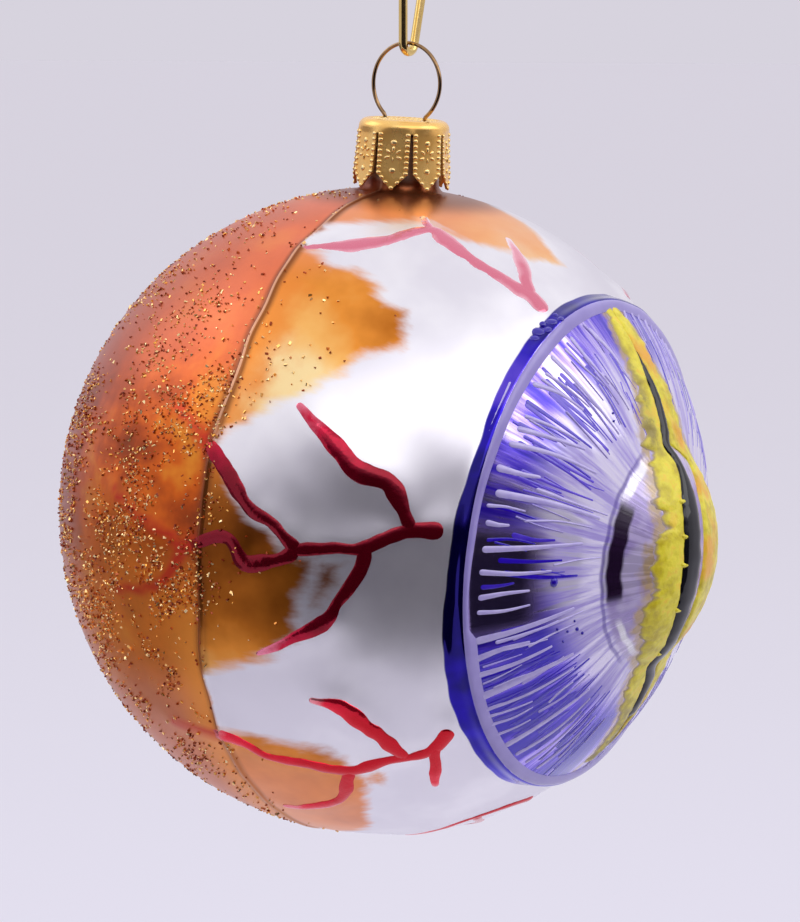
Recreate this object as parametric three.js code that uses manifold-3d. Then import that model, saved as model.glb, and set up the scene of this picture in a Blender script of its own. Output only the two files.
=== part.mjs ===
// Painted glass eyeball ornament.
// A blown ball with a moulded iris and pupil hangs by a stamped crown cap, a spring wire and a hook.
// Lengths are millimetres, angles are degrees, +Z is up and the eye looks along -Y.
// The ornament is drawn upright, with the ball's centre at the origin and its neck along Z.
// It then leans forward as it hangs, and the whole is set with its origin at the hook's inner crown.

import * as THREE from 'three';
import { mergeVertices } from 'three/addons/utils/BufferGeometryUtils.js';
import Module from 'manifold-3d';

const wasm = await Module();
wasm.setup();

// Glass ball
const ballRadius = 40;
const wallAtEye = 1.265;
const wallAtBack = 0.75;
const irisDiameter = 57.7;
const irisStep = 0.35;
const irisSink = 0.25;
const rimHeight = 0.45;
const rimWidth = 1.8;
const rimFallWidth = 1.3;
const pupilDiameter = 26.6;
const pupilBulgeRadius = 17.9;
const creaseSoftness = 0.3;
const seamSetback = 0.7;
const seamHeight = 0.25;
const seamWidth = 0.6;
const gazeDrop = 0.9;

// Neck
const neckDiameter = 9.2;
const boreDiameter = 7.6;
const neckFillet = 1.2;
const boreFillet = 0.8;

// Crown cap
const capHeight = 8.6;
const capTopDiameter = 11.1;
const capTipDiameter = 12.2;
const capSheet = 0.33;
const capShoulder = 0.8;
const capBand = 1.65;
const capDish = 0.12;
const capDishRim = 0.4;
const leafPress = 0.75;
const leafCount = 8;
const leafSlot = 0.45;
const capTurn = -4.2;

// Spring wire
const springWire = 0.5;
const ringDiameter = 9.84;
const holeSpacing = 5.8;
const legBend = 1;
const legLength = 10.5;

// Hook
const hookWire = 1.1;
const hookHeight = 36;
const smallBend = 1.2;
const freeLength = 7;
const freeFlare = 15;
const shankBend = 8;
const archRadius = 6.5;
const tipLength = 3.5;
const tipFlare = 12;

// Enamel strokes
const rimLineWidth = 1.3;
const rimLineHeight = 0.3;
const pupilEnamelHeight = 0.35;
const vesselWidth = 1.9;
const vesselHeight = 0.5;
const tipShare = 0.45;

// Fits
const clearance = 0.3;
const hangLean = 3.6;

// Fineness of the facets
const ballSegments = 48;
const cavitySegments = 28;
const neckSegments = 26;
const capSegments = 40;
const wireSides = 8;
const strokeSteps = 9;
const slitSteps = 20;
const borderSteps = 22;

const rad = THREE.MathUtils.degToRad;
const halfTurn = Math.PI;
const quarterTurn = Math.PI / 2;

// Angles at the ball's centre, measured from the eye's axis
const rimAngle = Math.asin(irisDiameter / 2 / ballRadius);
const pupilAngle = Math.asin(pupilDiameter / 2 / ballRadius);
const seamAngle = quarterTurn + Math.asin(seamSetback / ballRadius);
const bulgeCentre = Math.sqrt(ballRadius ** 2 - (pupilDiameter / 2) ** 2)
  - Math.sqrt(pupilBulgeRadius ** 2 - (pupilDiameter / 2) ** 2);

// The eye's axis, and the directions up and to the near side across it
const gaze = new THREE.Vector3(0, -Math.cos(rad(gazeDrop)), -Math.sin(rad(gazeDrop)));
const eyeUp = new THREE.Vector3(0, -Math.sin(rad(gazeDrop)), Math.cos(rad(gazeDrop)));
const eyeSide = new THREE.Vector3(-1, 0, 0);

// Heights on the neck's axis
const tipHeight = Math.sqrt(ballRadius ** 2 - (capTipDiameter / 2) ** 2) + clearance;
const capTop = tipHeight + capHeight;
const neckTop = capTop - capDish - capSheet - clearance;
const holeHeight = capTop - capSheet / 2;
const ringRadius = ringDiameter / 2;
const ringOpening = Math.acos((holeSpacing / 2 + legBend) / (ringRadius + legBend));
const ringCentre = holeHeight + (ringRadius + legBend) * Math.sin(ringOpening);
const ringTop = ringCentre + ringRadius;

function steps(from, to, count) {
  return Array.from({ length: count + 1 }, (_, i) => from + (to - from) * i / count);
}

function arc(across, along, radius, from, to, count) {
  return steps(from, to, count).map(
    (angle) => [across + radius * Math.cos(angle), along + radius * Math.sin(angle)],
  );
}

// Mesh helpers

function closedGeometry(positions, index) {
  const geometry = new THREE.BufferGeometry();
  geometry.setAttribute('position', new THREE.Float32BufferAttribute(positions, 3));
  geometry.setIndex(index);
  return geometry;
}

function signedVolume(positions, index) {
  const corners = [new THREE.Vector3(), new THREE.Vector3(), new THREE.Vector3()];
  let volume = 0;
  for (let i = 0; i < index.length; i += 3) {
    corners.forEach((corner, k) => corner.fromArray(positions, index[i + k] * 3));
    volume += corners[0].dot(corners[1].clone().cross(corners[2])) / 6;
  }
  return volume;
}

// Merges shared vertices, drops triangles without area and turns the faces outwards
function solidOf(source) {
  const geometry = source.clone();
  geometry.deleteAttribute('normal');
  geometry.deleteAttribute('uv');
  const merged = mergeVertices(geometry);
  const positions = merged.attributes.position.array;
  const all = merged.index.array;
  const index = [];
  for (let i = 0; i < all.length; i += 3) {
    const [a, b, c] = [all[i], all[i + 1], all[i + 2]];
    if (a !== b && b !== c && c !== a) index.push(a, b, c);
  }
  if (signedVolume(positions, index) < 0) index.reverse();
  return new wasm.Manifold(new wasm.Mesh({
    numProp: 3,
    vertProperties: new Float32Array(positions),
    triVerts: new Uint32Array(index),
  }));
}

function geometryOf(solid) {
  const mesh = solid.getMesh();
  const geometry = closedGeometry(mesh.vertProperties, Array.from(mesh.triVerts));
  geometry.computeVertexNormals();
  return geometry;
}

function joined(solids) {
  return solids.reduce((sum, next) => sum.add(next));
}

function turned(profile, segments) {
  return new THREE.LatheGeometry(profile.map(([x, y]) => new THREE.Vector2(x, y)), segments);
}

// Skins a row of rings, each with the same number of points, and closes the ends
function loft(rings, endless = false) {
  const count = rings[0].length;
  const positions = rings.flat().flatMap((point) => point.toArray());
  const index = [];
  const spans = endless ? rings.length : rings.length - 1;
  for (let i = 0; i < spans; i += 1) {
    const here = i * count;
    const next = ((i + 1) % rings.length) * count;
    for (let j = 0; j < count; j += 1) {
      const k = (j + 1) % count;
      index.push(here + j, next + j, next + k, here + j, next + k, here + k);
    }
  }
  if (!endless) {
    const last = (rings.length - 1) * count;
    for (let j = 1; j < count - 1; j += 1) {
      index.push(0, j, j + 1, last, last + j + 1, last + j);
    }
  }
  return closedGeometry(positions, index);
}

function named(name, geometry, color, roughness, metalness) {
  const mesh = new THREE.Mesh(geometry, new THREE.MeshStandardMaterial({ color, roughness, metalness }));
  mesh.name = name;
  return mesh;
}

// Glass

// Distance from the ball's centre to the glass without its rim and seam
function plainRadius(angle) {
  const reach = pupilBulgeRadius ** 2 - (bulgeCentre * Math.sin(angle)) ** 2;
  const bulge = reach > 0 && angle < quarterTurn ? bulgeCentre * Math.cos(angle) + Math.sqrt(reach) : 0;
  const overIris = THREE.MathUtils.clamp((angle - pupilAngle) / (rimAngle - pupilAngle), 0, 1);
  const dome = ballRadius + irisStep - irisSink * (1 - overIris);
  const outside = THREE.MathUtils.smoothstep(angle, rimAngle, rimAngle + rimFallWidth / ballRadius);
  const ball = dome + (ballRadius - dome) * outside;
  return (bulge + ball + Math.hypot(bulge - ball, creaseSoftness)) / 2;
}

function glassRadius(angle) {
  const fromRim = (angle - rimAngle) * ballRadius * 2 / rimWidth;
  const rim = rimHeight * Math.exp(-fromRim * fromRim);
  const fromSeam = Math.abs(angle - seamAngle) * ballRadius;
  const seam = seamHeight * Math.max(0, 1 - (fromSeam * 2) / seamWidth);
  return plainRadius(angle) + rim + seam;
}

function cavityRadius(angle) {
  const wall = wallAtEye + (wallAtBack - wallAtEye) * (1 - Math.cos(angle)) / 2;
  return plainRadius(angle) - wall;
}

function eyeLathe(radiusAt, angles, segments) {
  const points = angles.map((angle) => [radiusAt(angle) * Math.sin(angle), radiusAt(angle) * Math.cos(angle)]);
  points[0][0] = 0;
  points[points.length - 1][0] = 0;
  return turned(points, segments).rotateX(halfTurn + rad(gazeDrop));
}

function ballAngles() {
  const rim = rimWidth / ballRadius;
  const seam = seamWidth / 2 / ballRadius;
  const crease = creaseSoftness * 2 / ballRadius;
  return [
    ...steps(0, pupilAngle - crease, 7),
    ...steps(pupilAngle, rimAngle - rim, 6),
    ...steps(rimAngle - rim * 0.6, rimAngle + rim, 7),
    ...steps(rimAngle + rim * 1.8, seamAngle - seam, 6),
    seamAngle,
    ...steps(seamAngle + seam, halfTurn, 13),
  ];
}

function cavityAngles() {
  return [...steps(0, pupilAngle, 5), ...steps(pupilAngle + rad(5), halfTurn, 16)];
}

// The neck's outside, running down into the ball's wall
function neckProfile() {
  const radius = neckDiameter / 2;
  const foot = Math.sqrt(ballRadius ** 2 - (radius + neckFillet) ** 2);
  return [
    [0, foot - wallAtEye * 2],
    [radius + neckFillet, foot - wallAtEye * 2],
    ...arc(radius + neckFillet, foot + neckFillet, neckFillet, halfTurn * 1.5, halfTurn, 4),
    [radius, neckTop],
    [0, neckTop],
  ];
}

// The bore, opening into the hollow of the ball
function boreProfile() {
  const radius = boreDiameter / 2;
  const ceiling = Math.sqrt((ballRadius - wallAtEye) ** 2 - (radius + boreFillet) ** 2);
  return [
    [0, ceiling - boreFillet],
    [radius + boreFillet, ceiling - boreFillet],
    ...arc(radius + boreFillet, ceiling + boreFillet, boreFillet, halfTurn * 1.5, halfTurn, 3),
    [radius, neckTop + clearance],
    [0, neckTop + clearance],
  ];
}

function glassGlobe() {
  const ball = solidOf(eyeLathe(glassRadius, ballAngles(), ballSegments));
  const cavity = solidOf(eyeLathe(cavityRadius, cavityAngles(), cavitySegments));
  const neck = solidOf(turned(neckProfile(), neckSegments).rotateX(quarterTurn));
  const bore = solidOf(turned(boreProfile(), neckSegments).rotateX(quarterTurn));
  return named('glass_globe', geometryOf(ball.add(neck).subtract(cavity.add(bore))), 0xe8e6ee, 0.2, 0.6);
}

// Crown cap

function capProfile() {
  const top = capTopDiameter / 2;
  const tip = capTipDiameter / 2;
  const shoulder = capTop - capShoulder;
  const flare = (share) => top + (tip - top) * share ** 1.5;
  const leaf = steps(0, 1, 5);
  const outside = leaf.map((share) => [flare(share), shoulder + (tipHeight - shoulder) * share]);
  const inside = outside.map(([radius, height]) => [radius - capSheet, height]).reverse();
  return [
    [0, capTop - capDish],
    [top - capShoulder - capDishRim, capTop - capDish],
    ...arc(top - capShoulder, shoulder, capShoulder, quarterTurn, 0, 4).slice(0, -1),
    ...outside,
    ...inside,
    ...arc(top - capShoulder, shoulder, capShoulder - capSheet, 0, quarterTurn, 4).slice(1),
    [top - capShoulder - capDishRim, capTop - capDish - capSheet],
    [0, capTop - capDish - capSheet],
  ];
}

// Each leaf is pressed nearly flat below the round shoulder, which leaves an arch at its top
function pressed(geometry) {
  const pitch = 2 * halfTurn / leafCount;
  const place = geometry.attributes.position;
  for (let i = 0; i < place.count; i += 1) {
    const [x, y, z] = [place.getX(i), place.getY(i), place.getZ(i)];
    const offCentre = THREE.MathUtils.euclideanModulo(Math.atan2(y, x), pitch) - pitch / 2;
    const flat = Math.cos(pitch / 3) / Math.cos(offCentre);
    const share = leafPress * THREE.MathUtils.smoothstep(capTop - z, capShoulder, capShoulder + capBand);
    const scale = THREE.MathUtils.lerp(1, flat, share);
    place.setXY(i, x * scale, y * scale);
  }
  return geometry;
}

// One slot between two leaves, widening downwards so that each leaf ends in a square point
function leafCutter(turn) {
  const pitch = Math.PI * capTipDiameter / leafCount;
  const side = leafSlot / 2;
  const pointDepth = (pitch - leafSlot) / 2;
  const drop = pointDepth + clearance;
  const corner = tipHeight + pointDepth;
  const outline = new THREE.Shape([
    new THREE.Vector2(-side, capTop - capBand),
    new THREE.Vector2(-side, corner),
    new THREE.Vector2(-side - drop, corner - drop),
    new THREE.Vector2(side + drop, corner - drop),
    new THREE.Vector2(side, corner),
    new THREE.Vector2(side, capTop - capBand),
  ]);
  const prism = new THREE.ExtrudeGeometry(outline, { depth: capTipDiameter, bevelEnabled: false });
  return solidOf(prism.rotateX(quarterTurn).translate(0, -neckDiameter / 4, 0).rotateZ(turn));
}

function crownCap() {
  const shell = solidOf(pressed(turned(capProfile(), capSegments).rotateX(quarterTurn)));
  const slots = steps(0, 2 * halfTurn, leafCount).slice(0, -1).map(leafCutter);
  const holes = [-1, 1].map((side) => {
    const hole = new THREE.CylinderGeometry(springWire / 2 + clearance, springWire / 2 + clearance, capShoulder * 2, 16);
    return solidOf(hole.rotateX(quarterTurn).translate(0, side * holeSpacing / 2, capTop - capSheet / 2));
  });
  return named('crown_cap', geometryOf(shell.subtract(joined([...slots, ...holes]))), 0xd9a441, 0.3, 1);
}

// Wires

// A wire's centre line, with one ring of the tube at each of its points
class WireLine extends THREE.Curve {
  constructor(points) {
    super();
    this.points = points;
  }

  getPointAt(share) {
    return this.points[Math.round(share * (this.points.length - 1))].clone();
  }

  getTangentAt(share) {
    const last = this.points.length - 1;
    const here = Math.round(share * last);
    const before = this.points[Math.max(here - 1, 0)];
    return this.points[Math.min(here + 1, last)].clone().sub(before).normalize();
  }
}

function wire(points, diameter) {
  const section = new THREE.Shape(
    arc(0, 0, diameter / 2, 0, 2 * halfTurn, wireSides).slice(0, -1).map(([x, y]) => new THREE.Vector2(x, y)),
  );
  const options = { steps: points.length - 1, extrudePath: new WireLine(points), bevelEnabled: false };
  return geometryOf(solidOf(new THREE.ExtrudeGeometry(section, options)));
}

// The ring closes towards the two holes, and its legs spread in the bore
function hangerWire() {
  const hole = holeSpacing / 2;
  const legEnd = boreDiameter / 2 - springWire / 2 - clearance;
  const splay = Math.asin((legEnd - hole) / legLength);
  const ring = arc(0, ringCentre, ringRadius, quarterTurn, -ringOpening, 18);
  const bend = arc(hole + legBend, holeHeight, legBend, halfTurn - ringOpening, halfTurn + splay, 4).slice(1);
  const [across, height] = bend[bend.length - 1];
  const leg = [1 / 3, 2 / 3, 1].map((share) => [
    across + share * legLength * Math.sin(splay),
    height - share * legLength * Math.cos(splay),
  ]);
  const half = [...ring, ...bend, ...leg].map(([y, z]) => new THREE.Vector3(0, y, z));
  const mirrored = half.slice(1).reverse().map((point) => new THREE.Vector3(0, -point.y, point.z));
  return named('hanger_wire', wire([...mirrored, ...half], springWire), 0xc9a55a, 0.25, 1);
}

// From the free end, round the small bend, up the shank and over the arch. Z starts at the small bend's seat.
function ornamentHook() {
  const flare = rad(freeFlare);
  const small = arc(0, smallBend, smallBend, -flare, -halfTurn, 8);
  const [freeX, freeZ] = small[0];
  const free = steps(freeLength, 0, 3).slice(0, -1).map(
    (length) => [freeX + length * Math.sin(flare), freeZ + length * Math.cos(flare)],
  );
  const archZ = hookHeight - archRadius;
  const lean = Math.acos(1 - (archRadius + smallBend) / (2 * shankBend));
  const shankTop = archZ - 2 * shankBend * Math.sin(lean);
  const lower = arc(shankBend - smallBend, shankTop, shankBend, halfTurn, halfTurn - lean, 8);
  const upper = arc(archRadius - shankBend, archZ, shankBend, -lean, 0, 8).slice(1);
  const arch = arc(0, archZ, archRadius, 0, halfTurn, 16).slice(1);
  const tip = steps(0, tipLength, 3).slice(1).map(
    (length) => [-archRadius - length * Math.sin(rad(tipFlare)) * length / tipLength, archZ - length],
  );
  const line = [...free, ...small, ...lower, ...upper, ...arch, ...tip];
  const points = line.map(([x, z]) => new THREE.Vector3(x, 0, z));
  return named('ornament_hook', wire(points, hookWire), 0xc8a24e, 0.25, 1);
}

// Enamel strokes on the glass

function directionAt(angle, around) {
  return gaze.clone().multiplyScalar(Math.cos(angle))
    .addScaledVector(eyeUp, Math.sin(angle) * Math.cos(around))
    .addScaledVector(eyeSide, Math.sin(angle) * Math.sin(around));
}

// A point above the glass in the given direction from the ball's centre
function overGlass(direction, rise) {
  const unit = direction.clone().normalize();
  return unit.multiplyScalar(glassRadius(unit.angleTo(gaze)) + clearance + rise);
}

// Half-round section of a stroke, as shares of its half width and its height
const strokeSection = [[-1, 0], [-0.7, 0.75], [0, 1], [0.7, 0.75], [1, 0]];

function strokeRing(direction, forward, width, height) {
  const side = forward.clone().cross(direction).normalize();
  return strokeSection.map(([across, up]) => overGlass(
    direction.clone().multiplyScalar(ballRadius).addScaledVector(side, across * width / 2),
    up * height,
  ));
}

function rimEnamel() {
  const angle = rimAngle - rimLineWidth / 2 / ballRadius;
  const rings = steps(0, 2 * halfTurn, ballSegments).slice(0, -1).map((around) => {
    const direction = directionAt(angle, around);
    return strokeRing(direction, gaze.clone().cross(direction), rimLineWidth, rimLineHeight);
  });
  return named('iris_rim_enamel', geometryOf(solidOf(loft(rings, true))), 0xa99fd8, 0.3, 0);
}

// A branch runs through points of [degrees back from the rim, degrees round from the top]
function branch(path, startShare) {
  const curve = new THREE.CatmullRomCurve3(
    path.map(([back, around]) => directionAt(rimAngle + rad(back), rad(around))),
    false,
    'centripetal',
  );
  const count = Math.max(strokeSteps, path.length * 2);
  const rings = steps(0, 1, count).map((share) => {
    const taper = startShare + (tipShare - startShare) * share;
    const rounded = Math.min(1, 0.45 + 8 * share, 0.45 + 8 * (1 - share));
    return strokeRing(
      curve.getPointAt(share).normalize(),
      curve.getTangentAt(share),
      vesselWidth * taper * rounded,
      vesselHeight * Math.sqrt(taper) * rounded,
    );
  });
  return solidOf(loft(rings));
}

function vesselTree(name, color, trunk, ...branches) {
  const parts = [branch(trunk, 1), ...branches.map((path) => branch(path, 0.85))];
  return named(name, geometryOf(joined(parts)), color, 0.25, 0);
}

// Strips across the pupil are rows of [up, left, right], as hundredths of the rim's angle.
// Left is towards the near side.
const slitRows = [
  [80, -5.5, -6.5], [67.5, 0.5, -6.5], [55, -1, -7.5], [44, 2.5, -4.5], [30.5, 6, -4.5], [17.5, 10, -2], [6, 12.5, 0], [-6, 12.5, 0.5],
  [-19.5, 9.5, -1.5], [-33, 2.5, -4], [-42, -2, -7], [-56.5, -6, -11], [-70, -12, -13],
];
const borderRows = [
  [93.5, 1.5, -17.5], [81, 7.5, -17.5], [63.5, 11, -18.5], [49, 15, -20.5], [39, 14, -20.5], [30.5, 17, -24.5], [22.5, 20.5, -27.5],
  [10, 22.5, -29.5], [-2, 25.5, -30.5], [-12.5, 23.5, -29.5], [-25.5, 21, -27.5], [-35, 16.5, -24.5], [-47.5, 7.5, -21.5], [-65, -0.5, -20.5],
  [-79, -2.5, -18], [-92.5, -3.5, -14],
];

function stripRing(row, columns, margin, low, high) {
  const [up, left, right] = row.map((hundredth) => hundredth / 100 * rimAngle);
  const spread = margin / ballRadius;
  const across = steps(left + spread, right - spread, columns);
  const at = (side, rise) => overGlass(
    gaze.clone().addScaledVector(eyeUp, Math.tan(up)).addScaledVector(eyeSide, Math.tan(side)),
    rise,
  );
  return [...across.map((side) => at(side, low)), ...across.reverse().map((side) => at(side, high))];
}

function strip(rows, count, columns, margin, low, high) {
  const edges = new THREE.CatmullRomCurve3(rows.map((row) => new THREE.Vector3(...row)));
  const rings = edges.getSpacedPoints(count).map((row) => stripRing(row.toArray(), columns, margin, low, high));
  return solidOf(loft(rings));
}

function pupilSlit() {
  const slit = strip(slitRows, slitSteps, 2, 0, 0, pupilEnamelHeight);
  return named('pupil_slit_enamel', geometryOf(slit), 0x15151c, 0.1, 0);
}

function pupilBorder() {
  const whole = strip(borderRows, borderSteps, 4, 0, 0, pupilEnamelHeight);
  const longer = slitRows.map(([up, left, right]) => [up * 1.03, left, right]);
  const room = strip(longer, slitSteps, 2, clearance, -pupilEnamelHeight * 3, pupilEnamelHeight * 4);
  return named('pupil_border_enamel', geometryOf(whole.subtract(room)), 0xd8c42e, 0.45, 0);
}

function vessels() {
  const crimson = 0x8c1028;
  const red = 0xc8243c;
  const pink = 0xe59aa8;
  return [
    vesselTree(
      'side_vessel_enamel', crimson,
      [[4.5, 81], [10, 82], [16, 86], [22, 87], [28, 88]],
      [[27, 88], [32, 84], [36, 82], [40.5, 77.5], [47.5, 71.5], [54.5, 67]],
      [[27, 88], [31, 90], [36, 91], [40, 87.5], [49, 90.5]],
      [[48, 90.5], [52, 88.5], [57, 87.5], [66, 83.5]],
      [[48, 90.5], [51, 95.5], [55, 98.5], [64, 101]],
      [[9, 82], [11.5, 77], [14.5, 73.5], [19.5, 72.5], [23.5, 69.5], [32, 63.5]],
      [[16, 86], [17, 91], [20, 96.5], [23, 100.5], [34.5, 107]],
    ),
    vesselTree(
      'lower_vessel_enamel', red,
      [[5, 128], [9.5, 132.5], [16.5, 132], [23.5, 133], [30.5, 130.5], [37, 129], [43, 125.5], [56, 126]],
      [[13.5, 132.5], [17, 124], [21.5, 117.5], [26.5, 115.5]],
      [[8.5, 131.5], [10.5, 139.5], [12, 144.5]],
      [[23.5, 133], [28, 141.5], [36, 145], [41, 146]],
    ),
    vesselTree(
      'top_vessel_enamel', pink,
      [[3, 20.5], [7, 20], [11, 21], [18, 21.5], [24, 20], [28, 19], [32, 26], [37.5, 30.5], [44.5, 33]],
      [[28, 19], [31.5, 15]],
      [[7, 20], [12.5, 13], [18.5, 7.5]],
    ),
    vesselTree(
      'under_vessel_enamel', red,
      [[6, 176.5], [8.5, 171], [14.5, 167.5], [22.5, 169], [30.5, 172.5]],
      [[13.5, 167.5], [18, 177.5], [24, -178]],
    ),
    vesselTree(
      'far_top_vessel_enamel', pink,
      [[4, -21], [8, -27], [15, -36], [24, -42], [34, -45]],
      [[15, -36], [20, -28], [28, -25]],
      [[24, -42], [28, -52], [36, -58]],
    ),
    vesselTree(
      'far_side_vessel_enamel', crimson,
      [[7, -84], [14, -86], [22, -90], [30, -88], [38, -92], [48, -90]],
      [[14, -86], [18, -77], [26, -71], [33, -69]],
      [[22, -90], [26, -99], [33, -106]],
    ),
    vesselTree(
      'far_low_vessel_enamel', red,
      [[6, -130], [14, -133], [24, -130], [34, -134], [44, -130]],
      [[14, -133], [20, -124], [28, -119]],
      [[24, -130], [29, -140], [36, -146]],
    ),
  ];
}

// The cap and the spring wire share the cap's turn, and lean with the ball
function ornament() {
  const top = new THREE.Group();
  top.rotation.z = rad(capTurn);
  top.add(crownCap(), hangerWire());
  const upright = new THREE.Group();
  upright.add(glassGlobe(), rimEnamel(), pupilBorder(), pupilSlit(), ...vessels(), top);
  upright.rotation.x = rad(hangLean);
  return upright;
}

// The ring's top lies in the hook's small bend, straight below the hook's crown
function hungOrnament() {
  const whole = new THREE.Group();
  const hook = ornamentHook();
  hook.position.z = hookWire / 2 - hookHeight;
  hook.rotation.z = rad(capTurn);
  const hung = ornament();
  const seat = hook.position.z + hookWire / 2 + clearance + springWire / 2;
  hung.position.set(0, ringTop * Math.sin(rad(hangLean)), seat - ringTop * Math.cos(rad(hangLean)));
  whole.add(hook, hung);
  return whole;
}

export default hungOrnament();
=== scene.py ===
import math
import random

import bmesh
import bpy
import numpy as np
from mathutils import Matrix, Quaternion, Vector, noise


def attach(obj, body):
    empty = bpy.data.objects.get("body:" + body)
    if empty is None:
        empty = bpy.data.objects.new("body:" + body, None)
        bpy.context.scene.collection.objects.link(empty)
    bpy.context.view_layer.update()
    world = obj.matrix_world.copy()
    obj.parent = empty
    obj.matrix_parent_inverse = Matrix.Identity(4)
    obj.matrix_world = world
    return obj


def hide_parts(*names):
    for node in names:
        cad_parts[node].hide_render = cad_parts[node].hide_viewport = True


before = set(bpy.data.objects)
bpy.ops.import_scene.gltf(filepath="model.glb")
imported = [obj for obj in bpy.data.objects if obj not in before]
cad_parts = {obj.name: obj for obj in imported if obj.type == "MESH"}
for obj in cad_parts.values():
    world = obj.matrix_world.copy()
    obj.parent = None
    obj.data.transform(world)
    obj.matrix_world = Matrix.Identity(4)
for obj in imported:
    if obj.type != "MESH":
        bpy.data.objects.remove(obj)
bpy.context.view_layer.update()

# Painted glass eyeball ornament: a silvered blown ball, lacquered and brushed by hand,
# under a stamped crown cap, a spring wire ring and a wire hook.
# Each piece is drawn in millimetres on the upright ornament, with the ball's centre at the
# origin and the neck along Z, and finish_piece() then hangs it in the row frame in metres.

MM = 0.001

# Sizes of the CAD part, in millimetres and degrees: the ball and its relief
BALL_RADIUS = 40
IRIS_DIAMETER = 57.7
IRIS_STEP = 0.35
IRIS_SINK = 0.25
RIM_HEIGHT = 0.45
RIM_WIDTH = 1.8
RIM_FALL = 1.3
PUPIL_DIAMETER = 26.6
BULGE_RADIUS = 17.9
CREASE_SOFTNESS = 0.42
SEAM_SETBACK = 0.7
SEAM_HEIGHT = 0.22
SEAM_WIDTH = 0.5
SEAM_WANDER = 0.7
GAZE_DROP = 0.9
# Neck and cap
NECK_DIAMETER = 9.2
BORE_DIAMETER = 7.6
NECK_FILLET = 1.2
CAP_HEIGHT = 8.6
CAP_TOP_DIAMETER = 11.1
CAP_TIP_DIAMETER = 12.2
CAP_SHEET = 0.33
CAP_DISH = 0.12
CAP_BAND = 1.65
LEAF_COUNT = 8
LEAF_SLOT = 0.45
CAP_TURN = -4.2
# Spring ring, and the hook
SPRING_WIRE = 0.5
RING_DIAMETER = 9.84
HOLE_SPACING = 5.8
LEG_BEND = 1
LEG_LENGTH = 10.5
HOOK_WIRE = 1.1
HOOK_HEIGHT = 36
SMALL_BEND = 1.2
FREE_LENGTH = 7
FREE_FLARE = 15
SHANK_BEND = 8
ARCH_RADIUS = 6.5
TIP_LENGTH = 3.5
TIP_FLARE = 12
# Gap between pieces, and the angle at which the ornament hangs
CLEARANCE = 0.3
HANG_LEAN = 3.6

# The wall, which is thicker here than in the CAD part, and shapes that the part leaves out or
# has plainer, in millimetres
WALL = 1.8
VESSEL_HEIGHT = 0.17
VESSEL_SWELL = 0.34
VESSEL_FOOT = 1.5
STROKE_SINK = 0.12
RIM_LINE_HEIGHT = 0.22
ENAMEL_HEIGHT = 0.35

HALF_TURN = math.pi
QUARTER_TURN = math.pi / 2
MERGE_DISTANCE = 1e-4

rim_angle = math.asin(IRIS_DIAMETER / 2 / BALL_RADIUS)
pupil_angle = math.asin(PUPIL_DIAMETER / 2 / BALL_RADIUS)
PUPIL_UNIT = rim_angle / 100
seam_angle = QUARTER_TURN + math.asin(SEAM_SETBACK / BALL_RADIUS)
bulge_centre = (math.sqrt(BALL_RADIUS ** 2 - (PUPIL_DIAMETER / 2) ** 2)
                - math.sqrt(BULGE_RADIUS ** 2 - (PUPIL_DIAMETER / 2) ** 2))

tip_height = math.sqrt(BALL_RADIUS ** 2 - (CAP_TIP_DIAMETER / 2) ** 2) + CLEARANCE
cap_top = tip_height + CAP_HEIGHT
neck_top = cap_top - CAP_DISH - CAP_SHEET - CLEARANCE
hole_height = cap_top - CAP_SHEET / 2
ring_radius = RING_DIAMETER / 2
ring_opening = math.acos((HOLE_SPACING / 2 + LEG_BEND) / (ring_radius + LEG_BEND))
ring_centre = hole_height + (ring_radius + LEG_BEND) * math.sin(ring_opening)
ring_top = ring_centre + ring_radius

# The eye's own frame: X to the far side, Y up across the eye, Z along the gaze.
# EYE_SIDE points to the near side, which the camera sees.
drop = math.radians(GAZE_DROP)
eye_frame = Matrix((
    (1, 0, 0, 0),
    (0, -math.sin(drop), -math.cos(drop), 0),
    (0, math.cos(drop), -math.sin(drop), 0),
    (0, 0, 0, 1),
))
GAZE = np.array(eye_frame.col[2][:3])
EYE_UP = np.array(eye_frame.col[1][:3])
EYE_SIDE = -np.array(eye_frame.col[0][:3])

# The ornament leans as it hangs, with the ring's top in the hook's small bend
lean = math.radians(HANG_LEAN)
hook_seat = HOOK_WIRE / 2 - HOOK_HEIGHT
ring_seat = hook_seat + HOOK_WIRE / 2 + CLEARANCE + SPRING_WIRE / 2
ball_place = Vector((0, ring_top * math.sin(lean), ring_seat - ring_top * math.cos(lean)))
hung = Matrix.Scale(MM, 4) @ Matrix.Translation(ball_place) @ Matrix.Rotation(lean, 4, "X")
turned_cap = Matrix.Rotation(math.radians(CAP_TURN), 4, "Z")
hook_place = Matrix.Scale(MM, 4) @ Matrix.Translation((0, 0, hook_seat)) @ turned_cap


# Shapes

def spun(profile, steps):
    """A profile of [radius, height] turned once round the Z axis."""
    bm = bmesh.new()
    corners = [bm.verts.new((radius, 0, height)) for radius, height in profile]
    edges = [bm.edges.new(pair) for pair in zip(corners, corners[1:])]
    bmesh.ops.spin(
        bm, geom=corners + edges, axis=(0, 0, 1), cent=(0, 0, 0),
        angle=2 * HALF_TURN, steps=steps, use_merge=True,
    )
    bmesh.ops.remove_doubles(bm, verts=bm.verts, dist=MERGE_DISTANCE)
    bmesh.ops.recalc_face_normals(bm, faces=bm.faces)
    return bm


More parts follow.
